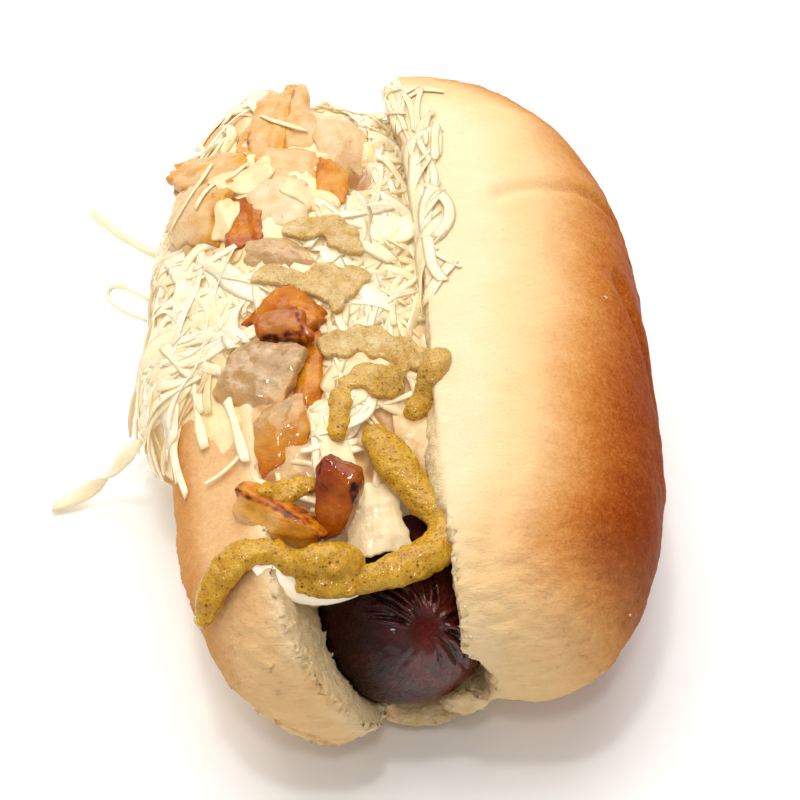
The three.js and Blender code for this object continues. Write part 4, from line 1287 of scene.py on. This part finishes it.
class Value:
    """One output of a finish's nodes, with which sums can be written."""

    def __init__(self, finish, socket):
        self.finish = finish
        self.socket = socket

    def _with(self, operation, *others):
        sockets = dict(enumerate(others))
        return self.finish.add("ShaderNodeMath", {"operation": operation}, sockets)

    def __add__(self, other):
        return self._with("ADD", self, other)

    def __radd__(self, other):
        return self._with("ADD", other, self)

    def __sub__(self, other):
        return self._with("SUBTRACT", self, other)

    def __rsub__(self, other):
        return self._with("SUBTRACT", other, self)

    def __mul__(self, other):
        return self._with("MULTIPLY", self, other)

    def __rmul__(self, other):
        return self._with("MULTIPLY", other, self)

    def __truediv__(self, other):
        return self._with("DIVIDE", self, other)

    def __pow__(self, other):
        return self._with("POWER", self, other)


def tint(code):
    """A colour given as six hexadecimal digits, as the light it returns."""
    parts = [int(code[k:k + 2], 16) / 255 for k in (0, 2, 4)]
    linear = [c / 12.92 if c <= 0.04045 else ((c + 0.055) / 1.055) ** 2.4 for c in parts]
    return (*linear, 1.0)


class Finish:
    """A material, made of nodes."""

    def __init__(self, name):
        self.material = bpy.data.materials.new(name)
        self.material.use_nodes = True
        self.tree = self.material.node_tree
        self.tree.nodes.clear()
        self.place = self.add("ShaderNodeTexCoord", output=3)

    def add(self, kind, settings=None, sockets=None, output=0):
        """Any node: its type, its settings, and the values or links of its sockets."""
        node = self.tree.nodes.new(kind)
        for key, value in (settings or {}).items():
            if key == "stops":
                while len(node.color_ramp.elements) < len(value):
                    node.color_ramp.elements.new(1.0)
                for element, (position, color) in zip(node.color_ramp.elements, value):
                    element.position = position
                    element.color = color
            elif key == "interpolation":
                node.color_ramp.interpolation = value
            else:
                setattr(node, key, value)
        for key, value in (sockets or {}).items():
            if isinstance(value, Value):
                self.tree.links.new(value.socket, node.inputs[key])
            else:
                node.inputs[key].default_value = value
        return Value(self, node.outputs[output])

    def kept(self, name):
        """A number that is kept for each vertex of the piece."""
        return self.add("ShaderNodeAttribute", {"attribute_name": name}, output=2)

    def stretched(self, scale, turn=(0, 0, 0)):
        return self.add("ShaderNodeMapping", {},
                        {"Vector": self.place, "Rotation": turn, "Scale": scale})

    def cloud(self, size, detail=2.0, roughness=0.5, place=None, distortion=0.0, color=False):
        """Noise with lumps of a size in millimetres."""
        return self.add("ShaderNodeTexNoise", {}, {
            "Vector": place or self.place, "Scale": 1 / (size * MM), "Detail": detail,
            "Roughness": roughness, "Distortion": distortion}, 1 if color else 0)

    def cells(self, size, feature="F1", place=None, randomness=1.0, output=0):
        return self.add("ShaderNodeTexVoronoi", {"feature": feature}, {
            "Vector": place or self.place, "Scale": 1 / (size * MM),
            "Randomness": randomness}, output)

    def step(self, value, low, high, to_low=0.0, to_high=1.0):
        """Goes smoothly from to_low to to_high while value goes from low to high."""
        return self.add("ShaderNodeMapRange", {"interpolation_type": "SMOOTHSTEP"}, {
            "Value": value, "From Min": low, "From Max": high,
            "To Min": to_low, "To Max": to_high})

    def mix(self, factor, a, b, blend="MIX"):
        """A mix of two colours."""
        return self.add("ShaderNodeMix", {"data_type": "RGBA", "blend_type": blend},
                        {0: factor, 6: a, 7: b}, 2)

    def ramp(self, value, *stops):
        return self.add("ShaderNodeValToRGB", {"stops": stops}, {0: value})

    def bump(self, height, depth, under=None):
        """A normal that is bent by a height. depth is how deep it is, in millimetres."""
        sockets = {"Height": height, "Distance": depth * MM, "Strength": 1.0}
        if under:
            sockets["Normal"] = under
        return self.add("ShaderNodeBump", {}, sockets)

    def done(self, **sockets):
        """Ends the finish with its shader."""
        values = {key.replace("_", " "): value for key, value in sockets.items()}
        shader = self.add("ShaderNodeBsdfPrincipled", {}, values)
        self.add_output(shader)
        return self.material

    def add_output(self, shader):
        output = self.tree.nodes.new("ShaderNodeOutputMaterial")
        self.tree.links.new(shader.socket, output.inputs["Surface"])


def bread_finish():
    bread = Finish("soft_bread")
    bake = bread.kept("bake")
    crust = bread.kept("crust")
    near = bread.kept("near_end")
    pebbles = bread.cloud(0.5, 3, 0.6)
    fleck = bread.cloud(1.5, 3, 0.65)
    drift = bread.cloud(9, 3, 0.6)
    baked = bake + (pebbles - 0.5) * (bake * 0.42 + 0.05) + (fleck - 0.5) * (bake * 0.3 + 0.04)
    baked = baked + (drift - 0.5) * 0.08
    crust_colour = bread.ramp(
        baked,
        (0.0, tint("e8d2ab")), (0.12, tint("e7c795")), (0.29, tint("e4bb86")),
        (0.4, tint("d9a772")), (0.56, tint("cb8c4c")), (0.7, tint("b66e2f")),
        (0.8, tint("a65922")), (0.91, tint("924211")), (1.0, tint("81350a")))
    crumb_colour = bread.ramp(fleck, (0.25, tint("cfae7c")), (0.6, tint("e4cda0")),
                              (0.85, tint("efdfbb")))
    colour = bread.mix(crust, crumb_colour, crust_colour)
    # Both ends are mixed a quarter of the way to a tan. At the near end, which is in shade, this is
    # partly painted shade: it warms the colour of that shade.
    colour = bread.mix(near * 0.25, colour, tint("c99f6c"))
    speck = bread.step(bread.cells(2.6), 0.0, 0.16, 1.0, 0.0) * bread.step(
        bread.cloud(3.3), 0.56, 0.62)
    colour = bread.mix(speck * 0.35, colour, tint("a3622b"))
    crepe = bread.cloud(1.0, 3, 0.6, place=bread.stretched((0.55, 1.0, 1.0)))
    skin = bread.bump(crepe, 0.2)
    skin = bread.bump(bread.cloud(0.36, 2, 0.6), 0.1, skin)
    wrinkle = bread.cloud(1.5, 4, 0.65, place=bread.stretched((0.4, 1.2, 1.2)),
                          distortion=0.6)
    skin = bread.bump(wrinkle * near, 0.4, skin)
    skin = bread.bump((1 - crust) * bread.cloud(0.7, 3, 0.7), 0.6, skin)
    return bread.done(Base_Color=colour, Roughness=bread.step(bake, 0.2, 0.9, 0.65, 0.45),
                      Normal=skin, Specular_IOR_Level=0.02, Subsurface_Weight=0.25,
                      Specular_Tint=(1.0, 0.8, 0.6, 1),
                      Subsurface_Radius=(1.0, 0.5, 0.2), Subsurface_Scale=0.0018)


def crumb_finish():
    crumb = Finish("torn_crumb")
    colour = crumb.ramp(crumb.cloud(1.5), (0.3, tint("dcc08e")), (0.6, tint("ecd8ae")))
    return crumb.done(Base_Color=colour, Roughness=0.75, Subsurface_Weight=0.3,
                      Normal=crumb.bump(crumb.cloud(0.3), 0.15), Specular_IOR_Level=0.2,
                      Subsurface_Radius=(1.0, 0.6, 0.3), Subsurface_Scale=0.0012)


def sausage_finish():
    skin = Finish("grilled_skin")
    fold = skin.kept("fold")
    red = skin.kept("red")
    side = skin.add("ShaderNodeSeparateXYZ", {}, {0: skin.place}, 0)
    # Painted shade: the skin's colour darkens towards its left side, which lies in shade.
    tone = skin.cloud(4, 3, 0.6) + skin.step(side, -0.009, 0.006, -0.3, 0.12)
    colour = skin.ramp(tone + (skin.cloud(0.9, 3, 0.6) - 0.5) * 0.3,
                       (0.15, tint("180302")), (0.4, tint("2e0604")), (0.6, tint("4a0e07")),
                       (0.8, tint("61180d")))
    # Painted shade: the skin is darkened in its folds.
    colour = skin.mix(skin.step(fold, 0.15, 0.55) * 0.8, colour, tint("120201"))
    colour = skin.mix(red * 0.5, colour, tint("701c10"))
    # Fine wrinkles run out from the near knot.
    away = skin.kept("away")
    ray = skin.add("ShaderNodeCombineXYZ", {}, {
        0: skin.kept("round_x"), 1: skin.kept("round_y"), 2: away * 0.045})
    wrinkle = skin.add("ShaderNodeTexNoise", {}, {
        "Vector": ray, "Scale": 12.0, "Detail": 3.0, "Roughness": 0.55, "Distortion": 0.25})
    gathered = skin.step(away, 1.5, 3.5) * skin.step(away, 11.0, 17.0, 1.0, 0.0)
    gathered = gathered * skin.step(side, -0.006, 0.002, 0.25, 1.0)
    relief = skin.bump(wrinkle * gathered, 0.75)
    relief = skin.bump(skin.cloud(0.6, 3, 0.65), 0.2, relief)
    relief = skin.bump(skin.cloud(0.3, 2, 0.6), 0.08, relief)
    return skin.done(Base_Color=colour, Roughness=skin.step(skin.cloud(1.6), 0.3, 0.7, 0.16, 0.36),
                     Normal=relief, Specular_IOR_Level=0.2, Coat_Weight=gathered * 0.8,
                     Specular_Tint=(1.0, 0.55, 0.5, 1), Coat_Roughness=0.1)


def kraut_finish(name, pale, middle, warm, glow):
    kraut = Finish(name)
    kept = kraut.kept("tone")
    tone = kept * 0.6 + kraut.cloud(4.0, 3, 0.6) * 0.6 - 0.1
    # Painted light and shade: the palest end of the ramp brightens the crescent, which hangs in
    # shade, and the darkest end darkens leaves that lie low in the heap.
    colour = kraut.ramp(tone, (0.0, tint("fff7e4")), (0.12, tint(pale)), (0.45, tint(middle)),
                        (0.78, tint(warm)), (1.0, tint("c9a26c")))
    # Painted shade: a high tone, in the pit and at the front of the core, turns to a dark amber.
    colour = kraut.mix(kraut.step(kept, 1.3, 2.2), colour, tint("a0600f"))
    streak = kraut.bump(kraut.cloud(0.6, 3, 0.6), 0.1)
    # A painted glow: every piece with this finish gives off a little warm light that lifts its
    # shade, and the thin crescent gives off more.
    crescent_glow = kraut.step(kept, -0.7, -0.5, 1.0, 0.0)
    return kraut.done(Base_Color=colour, Roughness=0.26, Normal=streak, Coat_Weight=0.25,
                      Coat_Roughness=0.1,
                      Emission_Color=kraut.mix(crescent_glow, (0.13, 0.1, 0.055, 1), (0.24, 0.2, 0.13, 1)),
                      Emission_Strength=1.0, Subsurface_Weight=glow, Specular_IOR_Level=0.35,
                      Subsurface_Radius=(1.0, 0.8, 0.5), Subsurface_Scale=0.0012)


def onion_finish():
    onion = Finish("grilled_onion")
    tone = onion.kept("tone")
    char = onion.kept("char")
    strand = onion.kept("fibre")
    fibre = onion.cloud(1.0, 4, 0.65)
    patch = onion.cloud(3.5, 3, 0.6)
    cooked = tone + (patch - 0.5) * 0.24 + (fibre - 0.5) * 0.1 + strand * 0.03
    colour = onion.ramp(
        cooked, (0.0, tint("eddcc0")), (0.2, tint("e2c69c")), (0.36, tint("dcb27c")),
        (0.5, tint("d2922c")), (0.61, tint("c67808")), (0.75, tint("aa5404")),
        (0.88, tint("8a3202")), (1.0, tint("5e1e02")))
    clear = onion.ramp(patch + strand * 0.08, (0.3, tint("9c703c")), (0.5, tint("b08a58")),
                       (0.72, tint("d4b698")))
    glass = onion.kept("glass")
    colour = onion.mix(glass, colour, clear)
    scorch = char + (fibre - 0.5) * 0.5
    colour = onion.mix(onion.step(scorch, 0.15, 0.55) * 0.8, colour, tint("9c420a"))
    colour = onion.mix(onion.step(scorch, 0.4, 0.8) * 0.9, colour, tint("541305"))
    colour = onion.mix(onion.step(scorch, 0.85, 1.05), colour, tint("120302"))
    fleck = onion.step(onion.cells(1.7), 0.0, 0.16, 1.0, 0.0) * onion.step(
        onion.cloud(2.3), 0.54, 0.6)
    colour = onion.mix(fleck * 0.7, colour, tint("5a2208"))
    relief = onion.bump(onion.cloud(1.1, 3, 0.55), 0.24)
    relief = onion.bump(onion.cloud(0.5, 3, 0.6), 0.17, relief)
    return onion.done(Base_Color=colour, Roughness=onion.step(patch, 0.3, 0.7, 0.12, 0.3),
                      Normal=relief, Coat_Weight=glass * 0.4 + 0.45, Coat_Roughness=0.08,
                      Specular_IOR_Level=0.12, Specular_Tint=(1.0, 0.85, 0.7, 1),
                      Subsurface_Weight=0.35, Subsurface_Radius=(1.0, 0.62, 0.25),
                      Subsurface_Scale=0.0014)


def mustard_finish():
    mustard = Finish("seed_mustard")
    body = mustard.cloud(2.4, 3, 0.65)
    colour = mustard.ramp(body, (0.25, tint("b68010")), (0.5, tint("d09a18")),
                          (0.75, tint("e4b840")))
    deep = mustard.step(mustard.cloud(1.0, 3, 0.7), 0.52, 0.75)
    colour = mustard.mix(deep * 0.5, colour, tint("95691f"))
    cream = mustard.ramp(body, (0.3, tint("c69f56")), (0.55, tint("dabd84")),
                         (0.75, tint("e6d1a2")))
    # Partly painted light: the back of the mustard is mixed towards a pale cream.
    colour = mustard.mix(mustard.kept("cream"), colour, cream)
    fine = mustard.step(mustard.cells(0.8), 0.12, 0.34, 1.0, 0.0)
    fine = fine * mustard.step(mustard.cells(0.8, output=1), 0.3, 0.34)
    large = mustard.step(mustard.cells(2.0), 0.08, 0.2, 1.0, 0.0)
    large = large * mustard.step(mustard.cells(2.0, output=1), 0.4, 0.44)
    shade = 1 - mustard.kept("cream") * 0.75
    colour = mustard.mix(fine * 0.75 * shade, colour, tint("6a3a10"))
    colour = mustard.mix(large * 0.9 * shade, colour, tint("6a200a"))
    relief = mustard.bump(mustard.cloud(0.8, 3, 0.65), 0.45)
    relief = mustard.bump(mustard.cloud(0.4, 3, 0.6), 0.22, relief)
    return mustard.done(Base_Color=colour, Normal=relief, Subsurface_Weight=0.25,
                        Roughness=mustard.step(mustard.cloud(1.4), 0.35, 0.65, 0.14, 0.32),
                        Subsurface_Radius=(1.0, 0.7, 0.2), Subsurface_Scale=0.0014,
                        Specular_IOR_Level=0.2, Coat_Weight=0.45, Coat_Roughness=0.1)


# ---------------------------------------------------------------- putting it together

def finished(piece, material, slot, *nodes):
    """Gives a piece its finish, hangs it on the root body, and hides the solids it stands for."""
    piece.data.materials.clear()
    piece.data.materials.append(material)
    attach(piece, "root")
    if nodes:
        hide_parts(*nodes)
    return piece


room = sausage_body("sausage_room", 96, 80, GAP)
sausage = make_sausage()
roll = make_roll(room)
removed(room)
core = make_core()
onions = make_onions()
shreds, sheets = make_shreds([core, roll, sausage], onions)
leaves = make_leaves(sheets)
mustard = make_mustard(tree_of([core, roll, sausage, shreds, leaves] + onions))
crumbs = make_torn_crumbs(roll)

onion = onion_finish()
finished(roll, bread_finish(), "bun", "bun")
finished(crumbs, crumb_finish(), "bun")
finished(sausage, sausage_finish(), "sausage", "sausage")
finished(core, kraut_finish("sauerkraut_depth", "f0dfb6", "e6cc96", "cfa55e", 0.4), "sauerkraut",
         "sauerkraut")
shred_finish = kraut_finish("sauerkraut_shred", "f1e5ca", "ead8b0", "dcc08e", 0.4)
finished(shreds, shred_finish, "sauerkraut", "sauerkraut")
finished(leaves, shred_finish, "sauerkraut", "sauerkraut")
onion_nodes = [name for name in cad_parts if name.startswith("onion")]
for number, piece in enumerate(onions, 1):
    node = f"onion_{number:02d}"
    finished(piece, onion, "onion", *([node] if node in onion_nodes else []))
finished(mustard, mustard_finish(), "mustard", "mustard_front", "mustard_side",
         "mustard_short", "mustard_lip", "mustard_band", "mustard_middle", "mustard_back")


# ---------------------------------------------------------------- floor, light and camera

bpy.ops.mesh.primitive_plane_add(size=6)
floor = named(bpy.context.object, "floor")
pale = Finish("pale_floor")
floor.data.materials.append(pale.done(
    Base_Color=pale.mix(pale.cloud(180), (0.93, 0.93, 0.93, 1), (0.95, 0.95, 0.945, 1)),
    Roughness=0.7, Specular_IOR_Level=0.2))

world = bpy.data.worlds.new("studio")
bpy.context.scene.world = world
world.use_nodes = True
world.node_tree.nodes["Background"].inputs["Color"].default_value = (1.0, 0.99, 0.97, 1)
world.node_tree.nodes["Background"].inputs["Strength"].default_value = 0.52


def softbox(name, place, aim, size, power, color):
    lamp = bpy.data.lights.new(name, "AREA")
    lamp.shape = "SQUARE"
    lamp.size = size
    lamp.energy = power
    lamp.color = color
    light = bpy.data.objects.new(name, lamp)
    bpy.context.scene.collection.objects.link(light)
    light.location = place
    light.rotation_mode = "QUATERNION"
    light.rotation_quaternion = (Vector(aim) - Vector(place)).to_track_quat("-Z", "Y")


softbox("key", (-0.06, 0.42, 0.85), (0, 0, 0.02), 1.0, 9.2, (1.0, 0.99, 0.975))
softbox("spark", (-0.08, -0.1, 0.95), (0, 0, 0.02), 0.09, 1.5, (1.0, 0.98, 0.95))
softbox("front_spark", (-0.03, -0.46, 0.84), (0, -0.04, 0.03), 0.1, 1.0, (1.0, 0.98, 0.95))

AZIMUTH = math.radians(-3.7)
ELEVATION = math.radians(47)
back = Vector((math.sin(AZIMUTH) * math.cos(ELEVATION),
               -math.cos(AZIMUTH) * math.cos(ELEVATION), math.sin(ELEVATION)))
camera_data = bpy.data.cameras.new("camera")
camera = bpy.data.objects.new("camera", camera_data)
bpy.context.scene.collection.objects.link(camera)
camera_data.sensor_width = 36
camera_data.lens = 36 * 2540 / 800
camera.location = Vector((0.0032, 0.002, 0.02)) + back * 0.5
camera.rotation_mode = "QUATERNION"
camera.rotation_quaternion = (-back).to_track_quat("-Z", "Y")
camera_data.clip_start = 0.01
bpy.context.scene.camera = camera
bpy.context.scene.view_settings.view_transform = "Standard"
